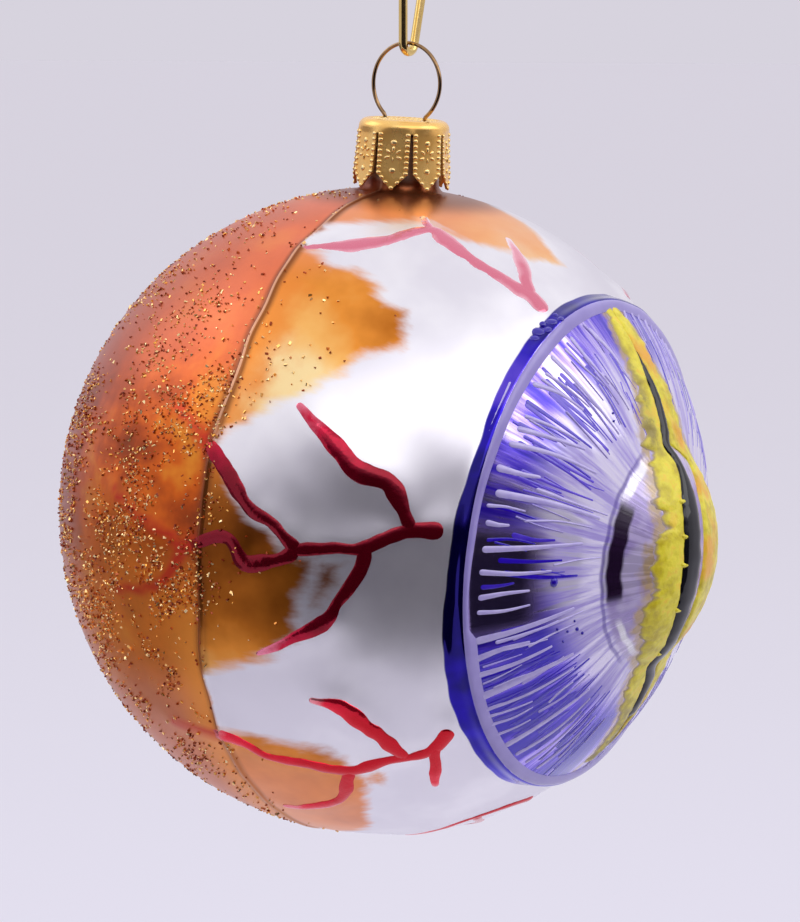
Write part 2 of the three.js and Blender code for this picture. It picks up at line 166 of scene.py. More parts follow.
def skin(bm, rings, thin=0.0, tone=0.0):
    """A grid wrapped over rings of points, closed where its edges meet.

    thin is the share of thin paint and tone the colour's own share: one for all, for each ring
    or for each point."""
    rows, columns = len(rings), len(rings[0])
    thin, tone = [
        np.broadcast_to(share[:, None] if share.ndim == 1 else share, (rows, columns))
        for share in (np.asarray(thin, float), np.asarray(tone, float))
    ]
    thin_layer = bm.verts.layers.float.get("thin") or bm.verts.layers.float.new("thin")
    tone_layer = bm.verts.layers.float.get("tone") or bm.verts.layers.float.new("tone")
    grid = bmesh.ops.create_grid(bm, x_segments=columns - 1, y_segments=rows - 1, size=1)["verts"]
    for vert in grid:
        column = round((vert.co.x + 1) / 2 * (columns - 1))
        row = round((vert.co.y + 1) / 2 * (rows - 1))
        vert.co = rings[row][column]
        vert[thin_layer] = thin[row, column]
        vert[tone_layer] = tone[row, column]
    bmesh.ops.remove_doubles(bm, verts=grid, dist=MERGE_DISTANCE)


def mesh_of(name, bm):
    """Moves a drawn shape into a mesh."""
    mesh = bpy.data.meshes.new(name)
    bm.to_mesh(mesh)
    bm.free()
    return mesh


def new_object(name, data):
    made = bpy.data.objects.new(name, data)
    bpy.context.scene.collection.objects.link(made)
    return made


def stamp(bm, mesh, place):
    """Adds a copy of a mesh, moved by a matrix."""
    copy = mesh.copy()
    copy.transform(place)
    bm.from_mesh(copy)
    bpy.data.meshes.remove(copy)


def finish_piece(name, bm, body, finishes, nodes=(), place=hung, smooth=True, sharp=None):
    """Hangs a drawn piece in the row frame and lets it ride on its body."""
    bmesh.ops.recalc_face_normals(bm, faces=bm.faces)
    bm.transform(place)
    for face in bm.faces:
        face.smooth = smooth
    mesh = mesh_of(name, bm)
    if sharp is not None:
        mesh.set_sharp_from_angle(angle=math.radians(sharp))
    for finish in finishes:
        mesh.materials.append(finish)
    piece = new_object(name, mesh)
    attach(piece, body)
    if nodes:
        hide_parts(*nodes)
    return piece


def cut_shape(shape, cutter, operation):
    """shape joined with cutter, or cut by it, both drawn as bmeshes."""
    objects = [new_object("cut", mesh_of("cut", bm)) for bm in (shape, cutter)]
    boolean = objects[0].modifiers.new("cut", "BOOLEAN")
    boolean.object = objects[1]
    boolean.operation = operation
    boolean.solver = "MANIFOLD"
    graph = bpy.context.evaluated_depsgraph_get()
    made = bmesh.new()
    made.from_object(objects[0], graph)
    for used in objects:
        bpy.data.objects.remove(used)
    return made


def arc(across, up, radius, start, end, count):
    """Points of an arc round a centre, in so many steps."""
    return [
        (across + radius * math.cos(angle), up + radius * math.sin(angle))
        for angle in np.linspace(start, end, count + 1)
    ]


def smoothstep(value, low, high):
    share = np.clip((value - low) / (high - low), 0, 1)
    return share * share * (3 - 2 * share)


def bell(value, middle, width):
    return np.exp(-((value - middle) / width) ** 2)


def between(before, start, end, after, share):
    """A smooth way from start to end, given the knots before and after them."""
    return 0.5 * (2 * start + (end - before) * share
                  + (2 * before - 5 * start + 4 * end - after) * share ** 2
                  + (3 * start - before - 3 * end + after) * share ** 3)


# The glass

def glass_radius(angle):
    """Distance from the ball's centre to the glass, at angles from the gaze."""
    reach = BULGE_RADIUS ** 2 - (bulge_centre * np.sin(angle)) ** 2
    bulge = np.where(
        (reach > 0) & (angle < QUARTER_TURN),
        bulge_centre * np.cos(angle) + np.sqrt(np.maximum(reach, 0)), 0,
    )
    over_iris = np.clip((angle - pupil_angle) / (rim_angle - pupil_angle), 0, 1)
    dome = BALL_RADIUS + IRIS_STEP - IRIS_SINK * (1 - over_iris)
    outside = smoothstep(angle, rim_angle, rim_angle + RIM_FALL / BALL_RADIUS)
    ball = dome + (BALL_RADIUS - dome) * outside
    plain = (bulge + ball + np.hypot(bulge - ball, CREASE_SOFTNESS)) / 2
    rim = RIM_HEIGHT * bell((angle - rim_angle) * BALL_RADIUS, 0, RIM_WIDTH / 2)
    seam = SEAM_HEIGHT * bell((angle - seam_angle) * BALL_RADIUS, 0, SEAM_WIDTH / 2)
    return plain + rim + seam


def unit(vectors):
    return vectors / np.linalg.norm(vectors, axis=-1, keepdims=True)


def direction_at(angle, around):
    """Directions at degrees from the gaze, and round from the eye's top by way of the near side."""
    angle, around = np.radians(angle), np.radians(around)
    return (np.multiply.outer(np.cos(angle), GAZE)
            + np.multiply.outer(np.sin(angle) * np.cos(around), EYE_UP)
            + np.multiply.outer(np.sin(angle) * np.sin(around), EYE_SIDE))


def back_from_rim(points):
    """Directions of points given in degrees back from the rim and round from the top."""
    back, around = np.array(points, float).T
    return direction_at(back + math.degrees(rim_angle), around)


LINE_STEPS = 14


def smooth_line(points):
    """Directions close together on a smooth line through the given ones, and their distances along it."""
    padded = np.vstack([2 * points[0] - points[1], points, 2 * points[-1] - points[-2]])
    share = np.linspace(0, 1, LINE_STEPS, endpoint=False)[:, None]
    spans = [between(*knots, share) for knots in zip(padded, padded[1:], padded[2:], padded[3:])]
    line = unit(np.vstack([*spans, points[-1:]]))
    lengths = np.linalg.norm(np.diff(line, axis=0), axis=1) * BALL_RADIUS
    return line, np.concatenate([[0], np.cumsum(lengths)])


# Blood vessels: trees of lines of (back, around, width) points, in degrees behind the rim, degrees
# round from the eye's top and millimetres
VESSELS = {
    "side_vessel": ("crimson", [
        [(4, 81, 2.3), (10, 82, 1.6), (16, 86, 1.9), (22, 87, 1.6), (28, 88, 1.8)],
        [(27, 88, 2.3), (32, 84, 1.4), (36, 82, 1.6), (40.5, 77.5, 2.2), (47.5, 71.5, 1.8), (54.5, 67, 0.9)],
        [(27, 88, 2.2), (31, 90, 1.9), (36, 91, 2.1), (40, 87.5, 1.4), (49, 90.5, 1.3)],
        [(48, 90.5, 1.4), (52, 88.5, 1.2), (57, 87.5, 1.1), (66, 83.5, 0.8)],
        [(48, 90.5, 1.4), (51, 95.5, 1.2), (55, 98.5, 1.1), (64, 101, 0.8)],
        [(9, 82, 1.8), (11.5, 77, 1.9), (14.5, 73.5, 2.6), (19.5, 72.5, 2.2), (23.5, 69.5, 2),
         (32, 63.5, 0.7)],
        [(16, 86, 1.9), (17, 91, 1.5), (20, 96.5, 1.4), (23, 100.5, 2.1), (34.5, 107, 0.6)],
    ]),
    "lower_vessel": ("red", [
        [(5, 128, 2), (9.5, 132.5, 1.6), (16.5, 132, 1.4), (23.5, 133, 2.3), (30.5, 130.5, 1.6),
         (37, 129, 1.5), (43, 125.5, 1.9), (56, 126, 0.8)],
        [(13.5, 132.5, 1.6), (17, 124, 2.5), (21.5, 117.5, 2.2), (26.5, 115.5, 0.7)],
        [(8.5, 131.5, 1.6), (10.5, 139.5, 1.5), (12, 144.5, 0.7)],
        [(23.5, 133, 1.8), (28, 141.5, 1.8), (36, 145, 1.3), (41, 146, 0.8)],
    ]),
    "top_vessel": ("pink", [
        [(3, 20.5, 2.4), (7, 20, 2.6), (11, 21, 2.7), (18, 21.5, 2.2), (24, 20, 2.8), (28, 19, 2.4),
         (32, 26, 2.1), (37.5, 30.5, 2.4), (44.5, 33, 1.2)],
        [(28, 19, 2), (31.5, 15, 1)],
        [(7, 20, 2), (12.5, 13, 2.4), (18.5, 7.5, 1)],
    ]),
    "under_vessel": ("red", [
        [(6, 176.5, 1.7), (8.5, 171, 1.5), (14.5, 167.5, 1.2), (22.5, 169, 1), (30.5, 172.5, 0.8)],
        [(13.5, 167.5, 1.4), (18, 177.5, 1.1), (24, -178, 0.8)],
    ]),
    "far_top_vessel": ("pink", [
        [(4, -21, 1.7), (8, -27, 1.5), (15, -36, 1.2), (24, -42, 1), (34, -45, 0.8)],
        [(15, -36, 1.4), (20, -28, 1.1), (28, -25, 0.8)],
        [(24, -42, 1.4), (28, -52, 1.1), (36, -58, 0.8)],
    ]),
    "far_side_vessel": ("crimson", [
        [(7, -84, 1.9), (14, -86, 1.7), (22, -90, 1.5), (30, -88, 1.3), (38, -92, 1.1), (48, -90, 0.9)],
        [(14, -86, 1.7), (18, -77, 1.4), (26, -71, 1), (33, -69, 0.7)],
        [(22, -90, 1.6), (26, -99, 1.2), (33, -106, 0.8)],
    ]),
    "far_low_vessel": ("red", [
        [(6, -130, 1.8), (14, -133, 1.6), (24, -130, 1.4), (34, -134, 1.1), (44, -130, 0.9)],
        [(14, -133, 1.7), (20, -124, 1.2), (28, -119, 0.8)],
        [(24, -130, 1.5), (29, -140, 1.1), (36, -146, 0.8)],
    ]),
}

swell_lines, swell_widths = [], []
for _, branches in VESSELS.values():
    for branch in branches:
        places = np.array(branch)
        line, lengths = smooth_line(back_from_rim(places[:, :2]))
        swell_lines.append(line)
        swell_widths.append(np.interp(lengths, lengths[::LINE_STEPS], places[:, 2]))
swell_line, swell_width = np.vstack(swell_lines), np.concatenate(swell_widths)
# How many directions are looked up at a time
BATCH = 4000


def nearest_vessel(directions):
    """Distance to the nearest vessel's middle, in millimetres, and its width there."""
    flat = directions.reshape(-1, 3)
    apart, width = np.zeros(len(flat)), np.zeros(len(flat))
    for start in range(0, len(flat), BATCH):
        part = flat[start:start + BATCH]
        closeness = part @ swell_line.T
        nearest = closeness.argmax(axis=1)
        chord = np.maximum(2 - 2 * closeness[np.arange(len(part)), nearest], 0)
        apart[start:start + BATCH] = BALL_RADIUS * np.sqrt(chord)
        width[start:start + BATCH] = swell_width[nearest]
    return apart.reshape(directions.shape[:-1]), width.reshape(directions.shape[:-1])


# The swell's peak, and the depth and place of the dip beside it
SWELL_PEAK, DIP_DEPTH, DIP_PLACE = 1.15, 0.2, 2.3


def vessel_swell(directions):
    """The soft rise of the blown glass along each vessel, with a shallow dip beside it."""
    apart, width = nearest_vessel(directions)
    reach = VESSEL_FOOT + width / 3
    rise = SWELL_PEAK * bell(apart, 0, reach) - DIP_DEPTH * bell(apart, DIP_PLACE * reach, reach)
    return VESSEL_SWELL * np.minimum(width / 2, 0.9) * rise


def on_glass(directions, rise=0.0):
    """Points on the glass in these directions, raised by so many millimetres."""
    directions = unit(directions)
    angle = np.arccos(np.clip(directions @ GAZE, -1, 1))
    return directions * (glass_radius(angle) + vessel_swell(directions) + rise)[..., None]


# Half-round section of a stroke: shares of its half width, and of its height
section_angles = np.linspace(HALF_TURN, 0, 9)
section_across = np.concatenate([np.cos(section_angles), [0.5, -0.5, -1]])
section_up = np.concatenate([np.sin(section_angles) ** 1.5, [0, 0, 0]])
section_sunk = np.array([1] + [0] * 7 + [1, 1, 1, 1])


def wobble(directions, *scales):
    """Smooth noise over directions, the later scales each half as strong."""
    return np.array([
        sum(noise.noise(Vector(direction) * scale) / 2 ** k for k, scale in enumerate(scales))
        for direction in directions
    ])


def brush_stroke(
    bm, points, widths, height, step=0.6, tone=0.0, thin_ends=(0, 1), uneven=0.0, washed=0.0,
):
    """A raised stroke along a smooth line of directions, with round ends, sunk a little in the glass.

    widths are at the points, or else at the two ends, and step is the length between two rings.
    uneven is the share by which its width changes; it also wanders by about that in millimetres.
    thin_ends says how thin the paint is at its two ends, and washed how much it thins out sideways.
    With None for its tone it sinks and changes tone where it runs under the lacquer behind the seam."""
    line, lengths = smooth_line(points)
    total = lengths[-1]
    start_width, end_width = widths[0], widths[-1]
    end = np.array([0, 0.02, 0.1, 0.25, 0.5, 1])
    starts, stops = end * start_width * 0.5, total - end[::-1] * end_width * 0.5
    middle = np.linspace(starts[-1], stops[0], max(3, round(total / step)))[1:-1]
    along = np.concatenate([starts, middle, stops])
    centre = unit(np.stack([np.interp(along, lengths, line[:, k]) for k in range(3)], axis=1))
    forward = np.gradient(centre, along, axis=0)
    side = unit(np.cross(forward, centre))
    share = along / total
    width = np.interp(along, lengths[::LINE_STEPS] if len(widths) == len(points) else (0, total), widths)
    if uneven:
        inner = np.clip(np.minimum(along, total - along) / 2, 0, 1)
        centre = unit(centre + side * (uneven * inner * wobble(centre + 5, 13) / BALL_RADIUS)[:, None])
        width = width * (1 + uneven * 1.5 * wobble(centre, 11, 27))
    into_end = np.clip(np.minimum(along / (start_width / 2), (total - along) / (end_width / 2)), 0, 1)
    rounded = np.sqrt(np.maximum(1 - (1 - into_end) ** 2, 0))
    across = (width * rounded / 2)[:, None] * section_across
    buried = smoothstep(np.arccos(np.clip(centre @ GAZE, -1, 1)), seam_angle - 0.02, seam_angle + 0.05)
    lift = height - (height + 0.1) * buried
    tone = buried if tone is None else tone
    rise = (lift * np.sqrt(width / start_width) * rounded)[:, None] * section_up
    rise = rise - STROKE_SINK * section_sunk * (rounded[:, None] > 0)
    rise = np.where(rounded[:, None] > 0, rise, -STROKE_SINK)
    rings = on_glass(centre[:, None] * BALL_RADIUS + side[:, None] * across[..., None], rise)
    thin = thin_ends[0] + (thin_ends[1] - thin_ends[0]) * share ** 2
    skin(bm, rings, thin[:, None] + washed * section_across ** 2, tone)


# Materials

def linear(hexadecimal):
    """An sRGB hex colour as linear light."""
    shares = [int(hexadecimal[i:i + 2], 16) / 255 for i in (1, 3, 5)]
    return (*[s / 12.92 if s <= 0.04045 else ((s + 0.055) / 1.055) ** 2.4 for s in shares], 1.0)


def plug(node, inputs):
    """Sets a node's inputs, by name or number, to values and hex colours, or links sockets to them."""
    for key, value in inputs.items():
        if isinstance(value, bpy.types.NodeSocket):
            node.id_data.links.new(value, node.inputs[key])
        else:
            node.inputs[key].default_value = linear(value) if isinstance(value, str) else value


def add(tree, kind, inputs=None, **settings):
    """Adds a node with these inputs and settings."""
    made = tree.nodes.new(kind)
    for name, value in settings.items():
        setattr(made, name, value)
    plug(made, inputs or {})
    return made


def new_finish(name):
    """An empty material with its tree, shader and output."""
    material = bpy.data.materials.new(name)
    material.use_nodes = True
    tree = material.node_tree
    tree.nodes.clear()
    shader = add(tree, "ShaderNodeBsdfPrincipled")
    add(tree, "ShaderNodeOutputMaterial", {"Surface": shader.outputs[0]})
    return material, tree, shader


def blended(share, low, high):
    """A colour between two, which are hex colours or sockets."""
    inputs = {0: share, 6: low, 7: high}
    return add(share.id_data, "ShaderNodeMix", inputs, data_type="RGBA", clamp_factor=True).outputs[2]


def layered(colour, *coats):
    """A colour under coats of paint, each given as the share that it covers and its colour."""
    for share, paint in coats:
        colour = blended(share, colour, paint)
    return colour


def ramp(value, stops):
    """Hex colours by position along a value."""
    made = add(value.id_data, "ShaderNodeValToRGB", {"Fac": value})
    elements = made.color_ramp.elements
    while len(elements) < len(stops):
        elements.new(0.5)
    for element, (position, colour) in zip(elements, stops):
        element.position = position
        element.color = linear(colour)
    return made.outputs[0]


def mask(value, low, high, at_low=0.0, at_high=1.0):
    """A smooth step of a value from low to high."""
    return add(value.id_data, "ShaderNodeMapRange", {
        "Value": value, "From Min": low, "From Max": high, "To Min": at_low, "To Max": at_high,
    }, interpolation_type="SMOOTHSTEP").outputs[0]


def maths(operation, a, b=0.0):
    tree = (a if isinstance(a, bpy.types.NodeSocket) else b).id_data
    return add(tree, "ShaderNodeMath", {0: a, 1: b}, operation=operation).outputs[0]


def plus(a, b):
    return maths("ADD", a, b)


def times(a, b):
    return maths("MULTIPLY", a, b)


def shifted(base, *shifts):
    """A base value with a change for each (share, change), in full where the share is 1."""
    for share, change in shifts:
        base = plus(times(share, change), base)
    return base


def mottled(value, grain, reach):
    """A value made uneven by noise, by up to half the reach either way."""
    return plus(value, times(maths("SUBTRACT", grain, 0.5), reach))


def vector_maths(operation, vector, inputs=None, output="Vector"):
    made = add(vector.id_data, "ShaderNodeVectorMath", {0: vector, **(inputs or {})}, operation=operation)
    return made.outputs[output]


def axis_of(vector, axis):
    return add(vector.id_data, "ShaderNodeSeparateXYZ", {0: vector}).outputs[axis]


def object_place(tree):
    return add(tree, "ShaderNodeTexCoord").outputs["Object"]


def eye_coordinates(tree):
    """Millimetres in the eye's own frame: X to the far side, Y up, Z along the gaze."""
    place = hung @ eye_frame
    return add(tree, "ShaderNodeMapping", {
        "Vector": object_place(tree), "Location": place.translation, "Rotation": place.to_euler(),
        "Scale": (MM, MM, MM),
    }, vector_type="TEXTURE").outputs[0]


def speckle(vector, scale, detail=2.0, roughness=0.5):
    return add(vector.id_data, "ShaderNodeTexNoise", {
        "Vector": vector, "Scale": scale, "Detail": detail, "Roughness": roughness,
    }).outputs["Fac"]


def attribute(tree, name):
    return add(tree, "ShaderNodeAttribute", attribute_name=name).outputs["Fac"]


def bumped(height, strength, depth):
    """The normal of a surface that a height from 0 to 1 raises by up to so many millimetres."""
    return add(height.id_data, "ShaderNodeBump", {
        "Strength": strength, "Distance": depth * MM, "Height": height,
    }).outputs[0]


def radial_streaks(eye, rays, drift):
    """Noise drawn out along the radii of the iris, with so many rays to a turn."""
    flat = vector_maths("MULTIPLY", eye, {1: (1, 1, 0)})
    length = vector_maths("LENGTH", flat, output="Value")
    ray = vector_maths("SCALE", vector_maths("NORMALIZE", flat), {"Scale": rays / (2 * HALF_TURN)})
    away = add(eye.id_data, "ShaderNodeCombineXYZ", {"Z": times(length, drift)}).outputs[0]
    return vector_maths("ADD", ray, {1: away})


def brushed_amber(eye, height, behind_seam):
    """Amber in patches: brown, ochre and cream, more orange by the seam and pinker high up and low down."""
    tone = mottled(attribute(eye.id_data, "amber_tone"), speckle(eye, 0.16, 3), 0.5)
    colour = ramp(tone, [
        (0.0, "#582600"), (0.2, "#8E4A08"), (0.4, "#C06E1C"), (0.6, "#EE9638"), (0.8, "#FCBE68"),
        (1.0, "#FFE2A4"),
    ])
    by_seam = mottled(behind_seam, speckle(eye, 0.3, 3), 8)
    stained = times(mask(by_seam, -7, -1), mask(height, 2, 12))
    return layered(
        colour,
        (times(stained, 0.85), "#F08E38"),
        (mask(height, 30, 36, 0, 0.5), "#F8A684"),
        (mask(height, -22, -30, 0, 0.5), "#F29A76"),
    )


def orange_back(eye, height, behind_seam):
    """Clouded orange all over the back, pinker above and below, and mauve-grey far behind as a painted
    grazing sheen; the vessels show through.
    """
    orange = ramp(speckle(eye, 0.085, 4, 0.6), [
        (0.34, "#8E3802"), (0.44, "#B84A04"), (0.54, "#E0660C"), (0.66, "#F59A28"),
    ])
    cloud = speckle(eye, 0.05, 2)
    drifting = mottled(height, cloud, 26)
    above = mask(drifting, 10, 26)
    return layered(
        orange,
        (mask(drifting, 4, -10, 0, 0.65), "#F89432"),
        (times(above, 0.75), "#EE7C54"),
        (mask(drifting, -12, -28, 0, 0.7), "#D07C60"),
        # Painted grazing sheen: mauve-grey far behind the seam
        (mask(mottled(behind_seam, cloud, 26), 14, 34, 0, 0.75), "#AC665A"),
        (times(above, mask(behind_seam, 3, 12, 0, 0.4)), "#A04830"),
        (times(mask(height, -4, -12), mask(behind_seam, 7, 1, 0, 0.7)), "#FFA23C"),
        (attribute(eye.id_data, "red_stain"), "#CE2A1C"),
    )


def seam_and_neck(amber, painted, height, behind_seam):
    """Painted shade beside the seam's bead and at the neck's foot under the cap, a painted reflection along
    the bead's crest, and thin lacquer on the neck.
    """
    from_crest = maths("ABSOLUTE", behind_seam)
    # Painted shade on the bead's flanks, stronger higher up
    flank_painted_shade = times(painted, mask(height, 2, 14, 0.4, 0.8))
    # Painted reflection along the bead's crest: pale high up and low down, dark in the middle
    crest_painted_reflection = ramp(plus(times(height, 0.5 / BALL_RADIUS), 0.5), [
        (0.12, "#D89A74"), (0.26, "#96522A"), (0.62, "#7A3C1A"), (0.72, "#F6BC96"),
    ])
    return layered(
        amber,
        (times(mask(from_crest, 1.2, 0.2), flank_painted_shade), "#6A3A22"),
        (times(mask(from_crest, 0.22, 0.08), times(painted, 0.75)), crest_painted_reflection),
        # Painted shade at the neck's foot, under the cap
        (mask(height, 37.7, 39.2, 0, 0.8), "#64260A"),
        (mask(height, 40.8, 41.8, 0, 0.8), "#CDB9A2"),
    )


# Satin pearl lacquer over silvered glass: the silver shows through as broad soft reflections.
# Amber lacquer is brushed over it in patches and all over the back, and glossy blue round the iris.
def lacquered_ball():
    material, tree, shader = new_finish("pearl_and_amber_lacquer")
    eye = eye_coordinates(tree)
    height, behind_seam = axis_of(eye, "Y"), attribute(tree, "behind_seam")
    brush_grain = add(tree, "ShaderNodeMapping", {
        "Vector": eye, "Rotation": (0, 0, 0.5), "Scale": (1, 1, 0.22),
    }).outputs[0]
    bristle = speckle(brush_grain, 0.4, 4, 0.6)
    patch = mask(mottled(attribute(tree, "amber_depth"), bristle, 4.5), -0.9, 1.5)
    painted = maths("MAXIMUM", patch, mask(behind_seam, -0.2, 0.2))
    back = mask(mottled(behind_seam, bristle, 1.2), -0.3, 0.3)
    band = mask(attribute(tree, "blue_depth"), -0.08, 0.12)

    pearl = blended(mask(speckle(eye, 0.09, 3), 0.35, 0.7), "#E7E4EB", "#F6F4F8")
    amber = layered(
        pearl,
        (patch, brushed_amber(eye, height, behind_seam)),
        (back, orange_back(eye, height, behind_seam)),
    )
    pale_blue = mottled(attribute(tree, "blue_thin"), speckle(eye, 0.25, 2), 0.8)
    blue = ramp(pale_blue, [(0.05, "#100070"), (0.45, "#2604C0"), (1.0, "#7458E0")])
    plug(shader, {
        "Base Color": blended(band, seam_and_neck(amber, painted, height, behind_seam), blue),
        "Roughness": shifted(0.34, (band, -0.25), (back, 0.03)),
        "Metallic": shifted(0.83, (band, 0.1), (back, -0.33)),
        "Specular IOR Level": 0.3,
        "Coat Weight": shifted(0.25, (painted, -0.2), (band, 0.1)),
        "Coat Roughness": shifted(0.3, (band, -0.24)),
        "Normal": bumped(times(speckle(eye, 2.2, 2), back), 0.12, 0.06),
    })
    return material


# Violet lacquer brushed thinly over the silvered iris: mirror bright between the brush marks.
# The pupil's bulge has a milky lilac coat, and the crease round it has painted shade and painted highlights.
def violet_iris():
    material, tree, shader = new_finish("violet_mirror_lacquer")
    eye = eye_coordinates(tree)
    height, beyond_rim = axis_of(eye, "Y"), attribute(tree, "beyond_rim")
    crease = (pupil_angle - rim_angle) * BALL_RADIUS
    bulge = mask(beyond_rim, crease + 0.2, crease - 0.7)
    streak = speckle(radial_streaks(eye, 130, 0.09), 1, 3, 0.6)
    broad = speckle(radial_streaks(eye, 17, 0.09), 1, 2, 0.5)
    depth = plus(times(streak, 0.62), times(broad, 0.38))
    depth = plus(depth, mask(height, -10, 12, -0.02, 0.012))
    depth = plus(depth, attribute(tree, "iris_shade"))
    brushed = ramp(depth, [
        (0.4, "#2A08B8"), (0.45, "#4A2CD0"), (0.5, "#7A62E4"), (0.55, "#A692F0"), (0.61, "#D8CCF8"),
    ])
    wash = blended(mask(depth, 0.42, 0.56), "#B6A6E8", "#EEE8FC")
    washed = maths("SUBTRACT", beyond_rim, mask(height, -12, 6, 0, 6))
    near_pupil = mask(washed, crease + 2, crease + 8.5, 0.85, 0.0)
    bare = attribute(tree, "bare_mirror")
    milk = blended(mask(speckle(eye, 0.25, 2), 0.4, 0.6), "#A795CE", "#CBBEE4")
    haze = mottled(attribute(tree, "yellow_haze"), speckle(eye, 0.8, 4), 1.3)
    brightness = mask(depth, 0.42, 0.56, 0.45, 0.95)
    milky = maths("MAXIMUM", times(bulge, 0.55), times(near_pupil, 0.75))
    plug(shader, {
        "Base Color": layered(
            brushed,
            (near_pupil, wash),
            (times(bare, 0.75), "#A08CB4"),
            (bulge, milk),
            (mask(haze, 0.3, 0.95, 0, 0.75), "#C4A44C"),
            # Painted shade in and beside the crease, and painted highlights on the bulge's foot
            (attribute(tree, "crease_line_of_painted_shade"), "#5B45A6"),
            (attribute(tree, "crease_painted_shade"), "#24102E"),
            (attribute(tree, "crease_painted_highlight"), "#FAF7FF"),
        ),
        "Metallic": maths("MAXIMUM", maths("SUBTRACT", brightness, milky), bare),
        "Roughness": 0.13,
        "Coat Weight": 0.6,
        "Coat Roughness": 0.04,
        "Normal": bumped(streak, 0.35, 0.1),
    })
    return material


# Bare silvered glass, as on the neck under the cap
def silvered_glass():
    material, tree, shader = new_finish("silvered_glass")
    cloud = speckle(eye_coordinates(tree), 0.6, 3)
    plug(shader, {"Base Color": blended(cloud, "#C9CACD", "#EEEFF1"), "Metallic": 0.95, "Roughness": 0.12})
    return material


# Glossy transparent vessel paint over the silver: deep where it is thick, pale at the thin ends
def vessel_paint(name, deep, mid, pale):
    material, tree, shader = new_finish(name)
    eye = eye_coordinates(tree)
    depth = mottled(attribute(tree, "thin"), speckle(eye, 0.4, 3), 0.8)
    paint = ramp(depth, [(0.2, deep), (0.65, mid), (1.05, pale)])
    under_amber = attribute(tree, "tone")
    plug(shader, {
        "Base Color": blended(under_amber, paint, "#BC3218"),
        "Metallic": 0.75,
        "Roughness": shifted(0.14, (under_amber, 0.25)),
        "Coat Weight": 0.18,
        "Coat Roughness": 0.03,
        "Normal": bumped(speckle(eye, 1.3, 2), 0.2, 0.2),
    })
    return material


# Opaque gloss enamel, as poured from a brush
def gloss_enamel(name, low, high, roughness, grain_scale=0.8, bump_depth=0.1, coat=0.5):
    material, tree, shader = new_finish(name)
    grain = speckle(eye_coordinates(tree), grain_scale, 3)
    plug(shader, {
        "Base Color": blended(mottled(attribute(tree, "tone"), grain, 0.8), low, high),
        "Roughness": roughness,
        "Coat Weight": coat,
        "Coat Roughness": 0.08,
        "Normal": bumped(grain, 0.3, bump_depth),
    })
    return material


# Thick yellow enamel, dabbed on: lemon where it is thick, brown and clear where it thins out
def yellow_enamel():
    material, tree, shader = new_finish("dabbed_yellow_enamel")
    eye = eye_coordinates(tree)
    thin = attribute(tree, "thin")
    dabs = speckle(eye, 0.45, 4, 0.6)
    lemon = ramp(dabs, [(0.34, "#CDB81C"), (0.46, "#E4D422"), (0.56, "#F4E63A"), (0.66, "#FAD83A")])
    orange = mask(mottled(attribute(tree, "tone"), speckle(eye, 0.2, 3), 2.2), 0.4, 0.9, 0, 0.85)
    up = axis_of(eye, "Y")
    upper_end = times(mask(up, 11, 15), mask(axis_of(eye, "X"), -0.5, -2.5))
    worn_ends = maths("MAXIMUM", upper_end, mask(up, -15, -22))
    fringe = ramp(mottled(thin, dabs, 1.0), [(0.5, "#C0A83C"), (0.8, "#AE9A6C"), (1.0, "#B8A8C4")])
    plug(shader, {
        "Base Color": layered(
            lemon,
            (orange, "#F2A820"),
            (times(worn_ends, mask(dabs, 0.62, 0.42, 0.35, 0.9)), "#9A8A44"),
            (mask(mottled(thin, dabs, 1.2), 0.4, 0.8), fringe),
        ),
        "Roughness": 0.42,
        "Coat Weight": 0.15,
        "Coat Roughness": 0.2,
        "Normal": bumped(speckle(eye, 1.4, 4), 0.5, 0.2),
    })
    return material


# Gold-lacquered metal: bright stamped sheet and polished wire
def gold(name, low, high, roughness, scale, metallic=1.0, coat=0.0):
    material, tree, shader = new_finish(name)
    eye = eye_coordinates(tree)
    cloud = speckle(eye, scale, 3)
    plug(shader, {
        "Base Color": blended(cloud, low, high),
        "Metallic": metallic,
        "Roughness": mask(cloud, 0.3, 0.7, roughness * 0.85, roughness * 1.2),
        "Coat Weight": coat,
        "Normal": bumped(speckle(eye, 2.0, 2), 0.06, 0.05),
    })
    return material


# Glitter grit: flakes of bright gold among flakes that show dark copper red
def glitter_grit():
    material, tree, shader = new_finish("gold_glitter_grit")
    tone = attribute(tree, "tone")
    plug(shader, {
        "Base Color": ramp(tone, [(0.0, "#7A1E02"), (0.35, "#C25410"), (0.5, "#FFB850"), (1.0, "#FFE8B0")]),
        "Metallic": mask(tone, 0.35, 0.5, 0.3, 0.75),
        "Roughness": 0.22,
    })
    return material


pearl_lacquer = lacquered_ball()
iris_lacquer = violet_iris()
bare_silver = silvered_glass()
vessel_paints = {
    "crimson": vessel_paint("crimson_vessel_paint", "#84001E", "#C80638", "#F48CA4"),
    "red": vessel_paint("red_vessel_paint", "#D20420", "#F01638", "#FA9CA4"),
    "pink": vessel_paint("pink_vessel_paint", "#E27C92", "#F6B2C0", "#FBE4EA"),
}
lavender = gloss_enamel("lavender_enamel", "#8E7CDA", "#C9BEF2", 0.24)
violet = gloss_enamel("violet_enamel", "#2C0CBC", "#6A50E0", 0.16)
rim_lavender = gloss_enamel("rim_lavender_enamel", "#8678C4", "#B0A3E4", 0.3, 0.3)
deep_blue = gloss_enamel("blue_enamel", "#2205A0", "#3D14D8", 0.1)
slit_black = gloss_enamel("black_enamel", "#0E0E14", "#1E1E28", 0.1, 0.4, 0.05, 0.0)
border_yellow = yellow_enamel()
cap_gold = gold("stamped_gold_sheet", "#FFB84C", "#FFDC8C", 0.24, 0.4, 0.64)
# The beads' gold is paler than the sheet's: painted highlight
bead_gold = gold("raised_gold_beads_painted_highlight", "#FFCE70", "#FFEAAE", 0.16, 0.4, 0.78)
